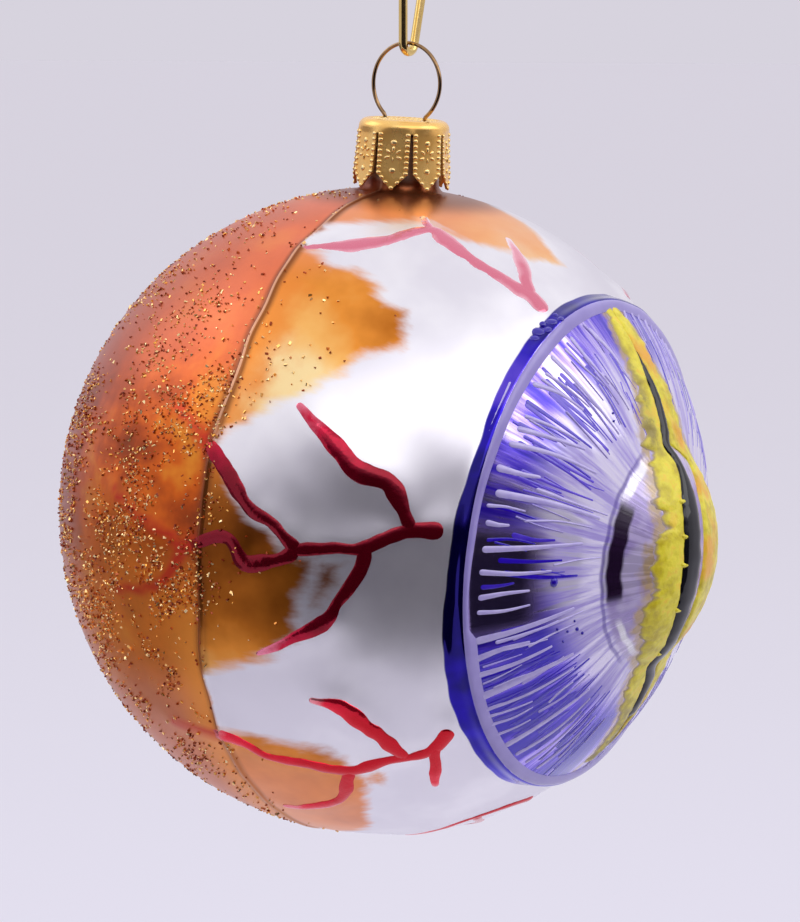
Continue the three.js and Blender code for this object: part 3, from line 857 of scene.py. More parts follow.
# The ring wire's gold is darkened all over: painted dark reflection
ring_gold = gold("gold_wire_painted_dark_reflection", "#54361C", "#B88E54", 0.05, 0.9, 1.0, 1.0)
hook_gold = gold("polished_gold_wire", "#D9B45C", "#F0D896", 0.1, 0.5)
grit_gold = glitter_grit()


# Blown globe

# Rings of the ball as (start, end, step) in degrees from the gaze, closer together where the relief is
RING_SPANS = [
    (0, 15.5, 1.0), (15.5, 23, 0.22), (23, 44, 1.0), (44, 51, 0.2), (51, 89.6, 0.9), (89.6, 92.4, 0.13),
    (92.4, 180, 1.1),
]
# Steps round the ball and the neck, and the height where the bore starts
GLOBE_STEPS = 256
NECK_STEPS = 96
BORE_START = 30
# Height of the glass's slow waver, and the depth below which a point isn't on the outside
WAVER = 0.08
SURFACE_DEPTH = 0.4
# The blue band's height, and how far its edge strays
BLUE_HEIGHT = 0.12
BLUE_RAGGED = 0.35
# Blue round the rim: its width, and how thin it is, by the way round from the eye's top
BLUE_WIDTHS = [
    (-180, 1.2), (-90, 1.8), (0, 1.7), (20, 1.7), (40, 1.3), (60, 1.1), (85, 1.5), (105, 2.4),
    (120, 2.4), (140, 2.2), (155, 1.8), (168, 1.1), (180, 1.2),
]
BLUE_THIN = [
    (-180, 0.5), (-90, 0.3), (-20, 0.3), (15, 0.2), (30, 0.15), (42, 0.8), (52, 0.5), (66, 0.05),
    (95, 0.0), (115, 0.15), (130, 0.25), (150, 0.4), (180, 0.5),
]
# How much paler or deeper the violet is near the rim, by the way round
IRIS_SHADES = [
    (-180, -0.01), (-90, 0), (20, 0.01), (50, 0), (75, 0), (104, -0.04), (112, -0.1), (132, -0.09),
    (150, -0.02), (180, 0),
]


def crease_band(angle, around, across, along):
    """A soft band beside the bulge's crease, where shade and highlights are painted: where it starts, is
    full, fades and ends, across and along.
    """
    angle = np.degrees(angle) + 0.2 * np.sin(around / 3.1) * np.sin(around / 7.3 + 1)
    return (smoothstep(angle, *across[:2]) * (1 - smoothstep(angle, *across[2:]))
            * smoothstep(around, *along[:2]) * (1 - smoothstep(around, *along[2:])))


def red_stain(directions, angle):
    """The vessels show through the amber lacquer behind the seam."""
    apart, width = nearest_vessel(directions)
    on_vessel = 1 - smoothstep(apart, width * 0.2, width * 0.75 + 0.2)
    return 0.85 * on_vessel * smoothstep(angle, seam_angle - 0.02, seam_angle + 0.02)


def hollow_ball():
    """The ball with its relief, its neck and its hollow."""
    angles = np.radians(np.concatenate([*[np.arange(*span) for span in RING_SPANS], [180]]))
    relief = glass_radius(angles)
    profile = np.stack([relief * np.sin(angles), relief * np.cos(angles)], axis=1)
    profile[0, 0] = profile[-1, 0] = 0
    ball = spun(profile, GLOBE_STEPS)
    ball.transform(eye_frame)

    radius, foot = NECK_DIAMETER / 2, NECK_DIAMETER / 2 + NECK_FILLET
    foot_height = math.sqrt(BALL_RADIUS ** 2 - foot ** 2)
    lip = CLEARANCE
    neck = spun([
        (0, foot_height - 2), (foot, foot_height - 2),
        *arc(foot, foot_height + NECK_FILLET, NECK_FILLET, HALF_TURN * 1.5, HALF_TURN, 8),
        *arc(radius - lip, neck_top - lip, lip, 0, QUARTER_TURN, 5), (0, neck_top),
    ], NECK_STEPS)
    inner = BALL_RADIUS - WALL
    hollow = spun([
        (inner * math.sin(turn) if 0 < turn < HALF_TURN else 0, inner * math.cos(turn))
        for turn in np.linspace(0, HALF_TURN, 25)
    ], 48)
    across, end = BORE_DIAMETER / 2, neck_top + 2
    bore = spun([(0, BORE_START), (across, BORE_START), (across, end), (0, end)], NECK_STEPS)
    return cut_shape(cut_shape(ball, neck, "UNION"), cut_shape(hollow, bore, "UNION"), "DIFFERENCE")


def blown_globe():
    bm = hollow_ball()
    radius, foot = NECK_DIAMETER / 2, NECK_DIAMETER / 2 + NECK_FILLET
    points = np.array([v.co for v in bm.verts])
    outward = unit(points)
    angle = np.arccos(np.clip(outward @ GAZE, -1, 1))
    around = np.degrees(np.arctan2(outward @ EYE_SIDE, outward @ EYE_UP))
    beyond_rim = (angle - rim_angle) * BALL_RADIUS
    outside = np.linalg.norm(points, axis=1) > BALL_RADIUS - SURFACE_DEPTH
    from_neck = np.hypot(points[:, 0], points[:, 1])
    on_neck = (from_neck < foot + 0.2) & (points[:, 2] > 0)

    rise = vessel_swell(outward)
    waver = WAVER * np.array([noise.noise(v.co * 0.07) for v in bm.verts])
    calm = smoothstep(angle, rim_angle + 0.04, rim_angle + 0.2)
    calm = np.where(points[:, 2] > 0, smoothstep(from_neck, foot, foot + 4) * calm, calm)
    blue_width = np.interp(around, *np.array(BLUE_WIDTHS).T) + BLUE_RAGGED * wobble(outward, 5, 14)
    blue_depth = blue_width - beyond_rim
    rise = rise + BLUE_HEIGHT * smoothstep(blue_depth, 0, 0.5) * smoothstep(beyond_rim, -0.3, 0.3)
    moved = points + outward * (np.where(outside & ~on_neck, rise + waver * calm, 0))[:, None]
    away = unit(outward * np.cos(angle)[:, None] - GAZE + 1e-9)
    by_seam = bell((angle - seam_angle) * BALL_RADIUS, 0, 2) * smoothstep(from_neck, foot, foot + 5)
    moved += away * (SEAM_WANDER * outside * by_seam * wobble(outward, 3, 7))[:, None]
    for vert, place in zip(bm.verts, moved):
        vert.co = place

    # What the lacquers read: distances in millimetres, and shares from 0 to 1
    values = {
        "beyond_rim": beyond_rim,
        "behind_seam": (angle - seam_angle) * BALL_RADIUS,
        "amber_depth": amber_depth(outward),
        "amber_tone": amber_tone(outward),
        "red_stain": red_stain(outward, angle),
        # Painted shade and painted highlights by the bulge's crease
        "crease_painted_shade": crease_band(angle, around, (16.3, 16.8, 18.9, 19.4), (50, 58, 104, 111)),
        "crease_painted_highlight": crease_band(angle, around, (17.7, 18.2, 19.2, 19.6), (24, 30, 46, 54))
                        + crease_band(angle, around, (16.8, 17.2, 17.8, 18.2), (118, 126, 146, 158)),
        "crease_line_of_painted_shade": 0.7 * crease_band(angle, around, (19.5, 19.8, 20.2, 20.6), (18, 30, 140, 156)),
        "yellow_haze": border_haze(outward),
        "iris_shade": np.interp(around, *np.array(IRIS_SHADES).T) * smoothstep(beyond_rim, -14, -7),
        "bare_mirror": smoothstep(beyond_rim, -12, -7) * smoothstep(around, 74, 82)
                       * (1 - smoothstep(around, 103, 108)),
        "blue_depth": blue_depth,
        "blue_thin": np.interp(around, *np.array(BLUE_THIN).T),
    }
    for name, value in values.items():
        layer = bm.verts.layers.float.new(name)
        for vert, number in zip(bm.verts, value):
            vert[layer] = number
    on_ball, on_iris, bare = 0, 1, 2
    for face in bm.faces:
        centre = face.calc_center_median()
        away = math.acos(max(-1, min(1, Vector(GAZE).dot(centre.normalized()))))
        in_bore = math.hypot(centre.x, centre.y) < radius - 0.2 and centre.z > 0
        if centre.length < BALL_RADIUS - SURFACE_DEPTH or in_bore:
            face.material_index = bare
        else:
            face.material_index = on_iris if away < rim_angle else on_ball
    finish_piece(
        "blown_globe", bm, "globe", [pearl_lacquer, iris_lacquer, bare_silver],
        ["glass_globe"], sharp=50,
    )


# Edges of the brushed amber patches, as (back, around) points; the last ones lie behind the seam
NEAR_PATCHES = [
    [(50.5, 30), (43.5, 33), (37.5, 35.5), (33.5, 34.5), (28.5, 37), (25.5, 40), (21.5, 40), (19, 47),
     (21, 49), (25, 53.5), (29, 58.5), (32, 62.5), (37.5, 66.5), (42.5, 70.5), (44.5, 72.5),
     (51.5, 73.5)],
    [(49.5, 74.5), (43.5, 74.5), (37, 82), (29, 88), (24.5, 89), (25, 93), (26.5, 97), (27, 101),
     (28, 104.5), (33.6, 107.5), (39, 110), (44.5, 112.5), (52.5, 112.5)],
    [(51, 122.5), (44, 124.5), (39, 124), (36, 125), (31, 126.5), (26, 127.5), (23, 129.5), (22.5, 139),
     (25, 147), (30, 157.5), (41.5, 168), (55.5, 167)],
    [(50.5, 31), (45.5, 29), (44, 26), (36, 21.5), (30, 17), (27, 17), (22, 16.5), (16.5, 13),
     (12.5, 10), (10, 0.5), (13, -2), (22.5, -7.5), (29.5, -8), (39, -16.5), (53.5, -19.5)],
    [(23.5, 89), (19.3, 89), (20.3, 92.5), (22.5, 96.2), (25, 98)],
    [(19.5, 135), (18.5, 137), (19.5, 139), (21.5, 137)],
]
FAR_PATCHES = [
    [(54, -28), (40, -34), (30, -39), (24, -47), (27, -57), (35, -64), (44, -70), (54, -72)],
    [(54, -84), (41, -86), (33, -92), (31, -99), (35, -106), (43, -112), (54, -115)],
    [(54, -128), (38, -129), (27, -137), (24, -146), (31, -156), (42, -166), (54, -168)],
]
# How light the amber is at some places, from 0 for brown to 1 for cream, as (back, around, tone)
AMBER_TONES = [
    (22, 43, 0.4), (25, 48, 0.5), (30, 40, 0.6), (32, 50, 0.85), (36, 60, 1.0), (41, 66, 0.95),
    (42, 50, 0.75), (43, 36, 0.5), (46, 82, 0.1), (38, 86, 0.2), (28, 92, 0.25), (46, 97, 0.15),
    (38, 99, 0.3), (43, 107, 0.7), (50, 80, 0.0), (40, 128, 0.55), (30, 133, 0.45), (30, 145, 0.5),
    (42, 158, 0.6), (16, 3, 0.9), (26, 5, 0.7), (36, 8, 0.6), (44, 5, 0.45), (40, -45, 0.6),
    (30, -52, 0.85), (44, -62, 0.5), (42, -100, 0.2), (36, -92, 0.5), (34, -145, 0.6), (44, -140, 0.4),
]
AMBER_BLEND = 4.5


def flat_map(directions, pole):
    """Millimetres over the ball on a map round the pole."""
    across = unit(np.cross(GAZE, pole))
    up = np.cross(pole, across)
    flat = np.stack([directions @ across, directions @ up], axis=-1)
    away = np.arccos(np.clip(directions @ pole, -1, 1)) * BALL_RADIUS
    return flat / np.maximum(np.linalg.norm(flat, axis=-1, keepdims=True), 1e-9) * away[..., None]


def depth_inside(points, outline):
    """How far points lie inside a closed outline, negative outside."""
    after = np.roll(outline, -1, axis=0)
    span = after - outline
    offset = points[:, None] - outline
    share = np.clip((offset * span).sum(-1) / (span ** 2).sum(-1), 0, 1)
    apart = np.linalg.norm(offset - share[..., None] * span, axis=-1).min(axis=1)
    height = points[:, 1, None]
    crosses = (outline[:, 1] > height) != (after[:, 1] > height)
    climb = np.where(span[:, 1] == 0, 1e-9, span[:, 1])
    meets = outline[:, 0] + (height - outline[:, 1]) / climb * span[:, 0]
    inside = (crosses & (points[:, 0, None] < meets)).sum(axis=1) % 2 == 1
    return np.where(inside, apart, -apart)


def amber_depth(directions):
    """Distance into the nearest amber patch, in millimetres."""
    depth = np.full(len(directions), -30.0)
    for patches, around in ((NEAR_PATCHES, 70), (FAR_PATCHES, -95)):
        pole = direction_at(80, around)
        near = directions @ pole > -0.2
        points = flat_map(directions[near], pole)
        for patch in patches:
            depth[near] = np.maximum(depth[near], depth_inside(points, flat_map(back_from_rim(patch), pole)))
    return depth


def amber_tone(directions):
    """How light the amber is, blended between the places above."""
    places = np.array(AMBER_TONES)
    apart = (2 - 2 * directions @ back_from_rim(places[:, :2]).T) * BALL_RADIUS ** 2
    weight = np.exp(-apart / AMBER_BLEND ** 2) + 1e-9
    return weight @ places[:, 2] / weight.sum(axis=1)


# Pupil: a glossy black slit between dabbed yellow borders.
# Rows are [up, left, right] as hundredths of the rim's angle, left being the near side.
SLIT_ROWS = [
    (79.9, -5, -6), (74.7, -2.4, -5.2), (67.5, -0.4, -6.2), (60.4, -0.7, -7.1), (53.2, 0.7, -6.4),
    (46.5, 2.4, -5.3), (41.3, 3.9, -2.7), (36.7, 1.9, -3.6), (30.6, 4, -2.9), (24.4, 7.7, -2.1),
    (17.3, 9.8, -1), (9.1, 10.8, 0.1), (0.9, 11.7, 0.3), (-7.2, 11.6, 0.4), (-16.4, 9.8, -0.1),
    (-24.6, 7.2, -1.9), (-30.8, 5, -5.4), (-37, 3.3, -7), (-41.6, 2.9, -6.9), (-48.4, -2.3, -12.1),
    (-55.6, -4.8, -13.1), (-61.8, -5.3, -14.1), (-68, -9.9, -14),
]
LEFT_BORDER = [
    (98, 3.5, -4.6), (91, 4.4, -4.6), (83.8, 7, -4.5), (74.6, 8.7, -3.5), (67.4, 9.9, -1.4),
    (60.2, 11.2, -1.3), (53, 14, -0.3), (46.3, 15.4, 1.4), (40.7, 15.1, 2.9), (35.6, 16.6, 1.4),
    (30.5, 18, 2.9), (24.4, 20.6, 6.5), (18.3, 20.9, 8.6), (13.2, 20.4, 9.7), (8.1, 24.1, 10),
    (3.4, 25, 10.7), (-1, 26.7, 10.7), (-7.1, 23.7, 10.5), (-12.8, 24.3, 9.4), (-18.3, 25.3, 8.4),
    (-24.9, 22.8, 6.2), (-29.6, 18.3, 4.3), (-35.7, 15.7, 2.6), (-41.3, 11.6, 1.7), (-47.1, 10.6, -2.3),
    (-54.3, 9.7, -5.4), (-64.7, 2.5, -8.4), (-79.1, -1.5, -10.9), (-92.5, -3.5, -12.9),
]
RIGHT_BORDER = [
    (98, -4.6, -13), (92.3, -4.6, -17), (84.1, -4.5, -18.7), (75.9, -4.3, -17.6), (68.7, -5.2, -18.6),
    (62.6, -6.2, -21.6), (54.4, -5.4, -20.6), (46.1, -4.8, -20.6), (41.5, -3.2, -20.6),
    (38.3, -7.3, -22.6), (34.9, -10.3, -24.6), (29.7, -8.8, -25.6), (24.2, -5.7, -27.7),
    (18.4, -3.9, -28.7), (10.1, -2.6, -29.7), (1.3, -1.5, -30.7), (-9.4, -1.4, -29.7),
    (-18.1, -1.9, -28.6), (-28, -4.1, -26.5), (-35.2, -8, -25.5), (-41.4, -8, -24.5),
    (-48.6, -11, -24.4), (-57.9, -12, -22.4), (-68.2, -13, -21.3), (-79.4, -11.9, -18.1),
    (-92.7, -11.8, -13.9),
]


def border_haze(directions):
    """How much thin yellow lies beside the borders, from 1 at their edges to 0 a millimetre or two out."""
    forward = np.maximum(directions @ GAZE, 0.05)
    up, side = [np.arctan(directions @ way / forward) / PUPIL_UNIT for way in (EYE_UP, EYE_SIDE)]
    left, right = np.array(LEFT_BORDER)[::-1], np.array(RIGHT_BORDER)[::-1]
    past_left = side - np.interp(up, left[:, 0], left[:, 1])
    past_right = np.interp(up, right[:, 0], right[:, 2]) - side
    outside = np.maximum(past_left, past_right)
    haze = (1 - np.clip(np.maximum(past_left / 7, past_right / 4), 0, 1)) * smoothstep(outside, -3, -1)
    return haze * (directions @ GAZE > 0.3) * (np.abs(up) < 97)


blown_globe()


# Vessels

for name, (paint, branches) in VESSELS.items():
    bm = bmesh.new()
    height, washed = (VESSEL_HEIGHT / 2, 0.9) if paint == "pink" else (VESSEL_HEIGHT, 0.1)
    for branch in branches:
        places = np.array(branch)
        at_tip = 0.95 if branch[-1][2] <= 1 else 0
        brush_stroke(
            bm, back_from_rim(places[:, :2]), places[:, 2], height, step=0.5, tone=None,
            thin_ends=(0, at_tip), uneven=0.25, washed=washed,
        )
    finish_piece(name, bm, "globe", [vessel_paints[paint]], [f"{name}_enamel"], sharp=35)


# Iris: the raised lavender line on the rim, and strokes from it towards the pupil

# Width of the rim's lavender line by the way round
RIM_LINE_WIDTHS = [
    (-180, 1.4), (-90, 1.3), (0, 1.5), (30, 1.6), (60, 1.3), (80, 1.0), (96, 0.85), (103, 0.8),
    (106, 1.7), (130, 1.6), (160, 1.5), (180, 1.4),
]


def rim_line():
    bm = bmesh.new()
    around = np.linspace(-180, 180, 361)
    width = np.interp(around, *np.array(RIM_LINE_WIDTHS).T)
    ups = np.cos(np.radians(around)) * BALL_RADIUS
    width = width + np.array([0.12 * noise.noise(Vector((up * 0.11, 0, 0))) for up in ups])
    half = np.degrees(width / 2 / BALL_RADIUS)[:, None]
    outer = math.degrees(rim_angle) + 0.1
    from_middle = half * section_across
    directions = direction_at(outer - half + from_middle, np.broadcast_to(around[:, None], from_middle.shape))
    rise = RIM_LINE_HEIGHT * section_up - STROKE_SINK * section_sunk
    skin(bm, on_glass(directions, np.broadcast_to(rise, from_middle.shape)), tone=0.5)
    finish_piece(
        "iris_rim_line", bm, "globe", [rim_lavender], ["iris_rim_enamel"], sharp=35,
    )


# The strokes that stand apart on the near side, as (start, end, around at each, width): degrees
# in from the rim, degrees round from the eye's top, and millimetres
NEAR_STROKES = [
    (2.3, 10.3, 64.4, 62.4, 1.0), (3.1, 20.1, 57.8, 51, 0.8), (10.1, 25.2, 66, 64, 0.5),
    (3.3, 23.8, 70.3, 66.8, 1.0), (2.3, 9.2, 73.7, 72.8, 0.5), (2.7, 6.9, 77.6, 77.3, 0.8),
    (9.3, 22.6, 75.4, 71.8, 0.35), (2.8, 21.3, 84.1, 78.8, 0.85), (2.7, 15.7, 89.5, 89.2, 0.75),
    (15.9, 25.7, 87.3, 83.8, 0.25), (2.7, 11.8, 95.8, 94.9, 0.75), (2.5, 11.9, 99.3, 99.2, 0.6),
    (1.9, 20.4, 106.5, 104.2, 1.0), (5.4, 22.1, 108, 106.8, 0.5), (1.6, 11.5, 111.2, 110.8, 0.9),
    (1.4, 15.4, 115.6, 115.3, 0.8), (1.2, 19, 121.9, 122.9, 1.2), (1.2, 18.3, 126.1, 128.9, 0.6),
    (1.1, 9.5, 128.3, 131, 0.5), (1.1, 9.2, 131.1, 133.1, 0.5), (1.6, 7.9, 135.4, 137.1, 0.5),
    (1.9, 19.1, 140.7, 144.4, 1.0), (2.4, 18.1, 146.3, 149, 0.7), (2.6, 15.6, 152.2, 153.3, 0.5),
    (2.7, 16.2, 158.4, 160.4, 0.6), (2.5, 12.4, 40.7, 36, 0.8), (3.3, 12.3, 38, 35.7, 0.5),
    (3.4, 13, 35.8, 33.4, 0.5), (2.5, 20.2, 30.4, 30.1, 0.7), (3.4, 12.7, 25.2, 22.4, 0.5),
    (2.7, 13, 20.7, 20, 0.7), (3.4, 14.1, 12.6, 9.2, 0.8), (3.5, 16.2, 53.4, 46.5, 0.8),
    # The last stroke, (-0.9, -0.8, 44, 66, 0.45), just outside the rim, is a painted highlight on the raised
    # blue band
    (3.8, 14.7, 49.5, 45.5, 0.6), (-0.9, -0.8, 44, 66, 0.45),
]


# Fields of finer strokes: from and to, in degrees round, their count and their tone
STROKE_FIELDS = [(10, 68, 30, 0.75), (68, 106, 8, 0.1), (106, 168, 44, 0.1), (-172, -10, 64, 0.4)]
WASH_HEIGHT, LINE_HEIGHT = 0.05, 0.15
STROKE_SEED = 11


def iris_strokes():
    """Lavender strokes over violet ones, from the rim towards the pupil."""
    chance = random.Random(STROKE_SEED)
    lines = [(*stroke, 0.85) for stroke in NEAR_STROKES]
    around = -172.0
    while around < -9:
        end = chance.uniform(13, 20) if chance.random() < 0.4 else chance.uniform(5, 10)
        lines.append((chance.uniform(0, 1.5), end, around, around + chance.uniform(-1.5, 1.5),
                      chance.uniform(0.4, 1.0), chance.uniform(0.4, 1.0)))
        around += chance.uniform(2.2, 4.4)
    washes = []
    for low, high, count, tone in STROKE_FIELDS:
        for _ in range(count):
            start, place = chance.uniform(1.5, 9), chance.uniform(low, high)
            washes.append((start, start + chance.uniform(5, 15), place, place + chance.uniform(-2, 2),
                           chance.uniform(0.25, 0.8), tone + chance.uniform(-0.4, 0.4)))
        for _ in range(count // 3):
            start, place = chance.uniform(10, 17), chance.uniform(low, high)
            washes.append((start, start + chance.uniform(3, 8), place, place + chance.uniform(-3, 3),
                           chance.uniform(0.15, 0.35), tone + 0.2))
            start, place = chance.uniform(2, 12), chance.uniform(low, high)
            lines.append((start, start + chance.uniform(4, 11), place, place + chance.uniform(-2, 2),
                          chance.uniform(0.2, 0.45), chance.uniform(0.3, 1)))
    for name, finish, strokes, height in (
        ("violet_strokes", violet, washes, WASH_HEIGHT), ("iris_strokes", lavender, lines, LINE_HEIGHT),
    ):
        bm = bmesh.new()
        for start, end, from_around, to_around, width, tone in strokes:
            bend = chance.uniform(-0.8, 0.8)
            middle = (-(start + end) / 2, (from_around + to_around) / 2 + bend)
            points = back_from_rim([(-start, from_around), middle, (-end, to_around)])
            brush_stroke(bm, points, (width, width * 0.4), height, 1.0, tone)
        finish_piece(name, bm, "globe", [finish], sharp=35)


rim_line()
iris_strokes()


# Pupil: the slit and its borders

# Width over which a border's paint thins out, and the roughness above which it does
FRINGE = 1.7
SMOOTH_PAINT = 0.1
# Share of a row over which a strip rises at its two ends
ROUND_END = 0.6


def smooth_values(values, place):
    """Values at places along a smooth curve through the knots."""
    padded = np.concatenate([[2 * values[0] - values[1]], values, [2 * values[-1] - values[-2]]])
    index = np.clip(place.astype(int), 0, len(values) - 2)
    return between(*[padded[index + k] for k in range(4)], place - index)


def across_pupil(up, side):
    """Directions over the pupil, so many hundredths of the rim's angle up and to the near side."""
    up, side = [np.tan(np.asarray(offset) * PUPIL_UNIT)[..., None] for offset in (up, side)]
    return unit(GAZE + up * EYE_UP + side * EYE_SIDE)


def pupil_strip(bm, rows, count, columns, height, ragged, rough, edges, tone=0.0):
    """A raised strip over the pupil, whose paint thins out towards the more ragged of its two sides.

    ragged is how far each side strays, rough how lumpy the paint is, and edges give each side
    the width over which it rises and how softly it starts."""
    knots = np.array(rows, float)
    place = np.linspace(0, len(knots) - 1, count)
    up, left, right = [smooth_values(knots[:, k], place) for k in range(3)]
    jitter = np.array([
        [noise.noise(Vector((u * 0.24, side * 9, 0))) + 0.4 * noise.noise(Vector((u * 0.7, side * 7, 3)))
         for u in up] for side in (1, 2)
    ])
    left, right = left + jitter[0] * ragged[0], right - jitter[1] * ragged[1]
    across = np.linspace(0, 1, columns + 1)
    side = left[:, None] + (right - left)[:, None] * across
    directions = across_pupil(np.broadcast_to(up[:, None], side.shape), side)
    reach = np.abs(right - left)[:, None] * PUPIL_UNIT * BALL_RADIUS
    ends = np.minimum(place, len(knots) - 1 - place)[:, None]
    dome = np.sqrt(np.clip(ends / ROUND_END, 0, 1))
    for into, (width, softness) in zip((across * reach, (1 - across) * reach), edges):
        dome = dome * np.sin(np.clip(into / width, 0, 1) * QUARTER_TURN) ** softness
    lumps = np.array([[noise.noise(Vector(d) * 30) + 0.6 * noise.noise(Vector(d) * 75) for d in row]
                      for row in directions])
    top = on_glass(directions, height * dome * (1 + rough * lumps))
    under = on_glass(directions[:, -2::-1], -STROKE_SINK)
    rings = np.concatenate([top, under], axis=1)
    rings[:, 0] = under[:, -1]
    rings[0], rings[-1] = rings[0].mean(axis=0), rings[-1].mean(axis=0)
    from_edge = (across[::-1] if ragged[1] > ragged[0] else across) * reach
    thin = 1 - np.clip(from_edge / FRINGE, 0, 1) if rough > SMOOTH_PAINT else from_edge * 0
    skin(bm, rings, np.concatenate([thin, thin[:, -2::-1]], axis=1), tone)


# Barbs of yellow from the near border over the slit, as (up, side, reach)
BARBS = [(22.4, 8.1, -1.8), (10.6, 10.2, -1.4), (1, 10.8, -2.6), (-15.3, 8.9, -2.2), (-34.8, 2.8, -2)]


def pupil():
    bm = bmesh.new()
    steep = (1.4, 0.6)
    pupil_strip(bm, SLIT_ROWS, 150, 12, ENAMEL_HEIGHT + 0.15, (0.8, 0.6), 0.05, (steep, steep))
    finish_piece("pupil_slit", bm, "globe", [slit_black], ["pupil_slit_enamel"])

    bm = bmesh.new()
    height, steep = ENAMEL_HEIGHT * 0.8, (0.7, 0.6)
    pupil_strip(bm, LEFT_BORDER, 170, 22, height, (5.0, 0.6), 0.4, ((2.2, 1.5), steep), 0.1)
    pupil_strip(bm, RIGHT_BORDER, 170, 22, height, (0.6, 3.0), 0.4, (steep, (1.8, 1.5)), 0.5)
    for up, side, reach in BARBS:
        points = across_pupil([up, up - 0.6, up - 0.4], [side + 2, side, side + reach])
        brush_stroke(bm, points, (0.8, 0.5), 0.5, 0.5, thin_ends=(0, 0.1))
    finish_piece(
        "pupil_border", bm, "globe", [border_yellow], ["pupil_border_enamel"], sharp=50,
    )


pupil()


# Drops and a lump of blue paint that the brush left on the iris and its band, as (back, around, width)
DROPS = [
    (-16.3, 93.1, 1.1), (-16.7, 110, 0.35), (-18.6, 112.5, 0.35), (-20.2, 109.5, 0.3),
    (-20.5, 113.4, 0.5), (-17.5, 115.6, 0.3), (-21.4, 116.3, 0.4), (1.4, 29.5, 1.1), (1.6, 27.2, 1.5),
    (0.8, 25.6, 1.2), (1.9, 24.3, 0.9), (1.1, 22.6, 1.3), (0.5, 20.2, 0.9), (1.6, 19.4, 0.7),
    (-17.9, 28.6, 0.35), (-16.9, 26.6, 0.3),
]


def blue_drops():
    bm = bmesh.new()
    for back, around, size in DROPS:
        half = math.degrees(size / 2 / BALL_RADIUS / math.sin(rim_angle + math.radians(back)))
        points = back_from_rim([(back, around - half), (back, around), (back, around + half)])
        brush_stroke(bm, points, (size, size * 0.95), 0.14 + size * 0.2, 0.2, 0.1)
    finish_piece("blue_drops", bm, "globe", [deep_blue])


blue_drops()


# Gold grit strewn on the amber back while it was wet, thickest on the middle of the side

# Flakes placed before those off the amber are dropped, their length, and the corners of each
FLAKE_TRIES = 12000
FLAKE_LENGTH = (0.18, 0.44)
CUBE_CORNERS = 8
FLAKE_SEED = 23


def grit_thickness(direction, past):
    """How thickly the grit lies in a direction, which is so many millimetres past the seam."""
    upper = direction.dot(Vector(EYE_UP))
    clump = noise.noise(direction * 5) + 0.8 * noise.noise(direction * 13) + 0.5 * noise.noise(direction * 30)
    band = bell(upper, 0.02, 0.5) * bell(past, 7, 22) + 0.9 * bell(upper, -0.28, 0.25) * bell(past, 4, 7)
    thick = 0.03 + (0.1 + 1.1 * band) * max(0.04, 0.4 + 1.5 * clump)
    if past < 0:
        thick = thick * math.exp(past / (8 if 0.2 < upper < 0.75 else 2.5)) * 0.6
    return thick


def gold_grit():
    chance = random.Random(FLAKE_SEED)
    grain = bmesh.new()
    bmesh.ops.create_cube(grain, size=1)
    flake = mesh_of("grain", grain)
    placed = []
    while len(placed) < FLAKE_TRIES:
        direction = Vector([chance.gauss(0, 1) for _ in range(3)]).normalized()
        past = (direction.angle(Vector(GAZE)) - seam_angle) * BALL_RADIUS
        clear_of_neck = math.hypot(direction.x, direction.y) * BALL_RADIUS > 7
        if grit_thickness(direction, past) > chance.random() * 1.5 and clear_of_neck:
            placed.append(direction)
    placed = np.array(placed)
    on_amber = (placed @ GAZE < math.cos(seam_angle)) | (amber_depth(placed) > 0.5)
    centres = on_glass(placed[on_amber], 0.03)
    bm = bmesh.new()
    for centre in centres:
        length = chance.uniform(*FLAKE_LENGTH)
        width, height = length * chance.uniform(0.35, 0.8), length * chance.uniform(0.25, 0.5)
        stretch = Matrix.Diagonal((length, width, height, 1))
        angle = chance.uniform(0, 6.28)
        axis = Vector([chance.gauss(0, 1) for _ in range(3)]).normalized()
        stamp(bm, flake, Matrix.Translation(centre) @ Matrix.Rotation(angle, 4, axis) @ stretch)
    bpy.data.meshes.remove(flake)
    tone = bm.verts.layers.float.new("tone")
    tones = [chance.random() for _ in centres]
    for number, vert in enumerate(bm.verts):
        vert[tone] = tones[number // CUBE_CORNERS]
    finish_piece("gold_grit", bm, "globe", [grit_gold], smooth=False)


gold_grit()


# Crown cap

# The stamped sheet's round shoulder, how deep its top is dished, the share by which its leaves
# are flat, and its steps round
SHOULDER = 1.1
TOP_DISH = 0.1
FLATTENING = 0.75
CAP_STEPS = 160
band_height = cap_top - CAP_BAND


def cap_outline(height):
    """Radius of the cap's round outline at a height."""
    top, tip = CAP_TOP_DIAMETER / 2, CAP_TIP_DIAMETER / 2
    share = np.clip((cap_top - SHOULDER - height) / (cap_top - SHOULDER - tip_height), 0, 1)
    return top + (tip - top) * share ** 1.5


def leaf_flatness(turn, height):
    """Each leaf is pressed nearly flat below the round shoulder."""
    pitch = 2 * HALF_TURN / LEAF_COUNT
    off_centre = (turn - QUARTER_TURN) % pitch - pitch / 2
    flat = math.cos(pitch / 2) / math.cos(off_centre) * 1.035
    share = FLATTENING * float(smoothstep(cap_top - height, SHOULDER * 0.85, SHOULDER + 0.5))
    return 1 + (flat - 1) * share


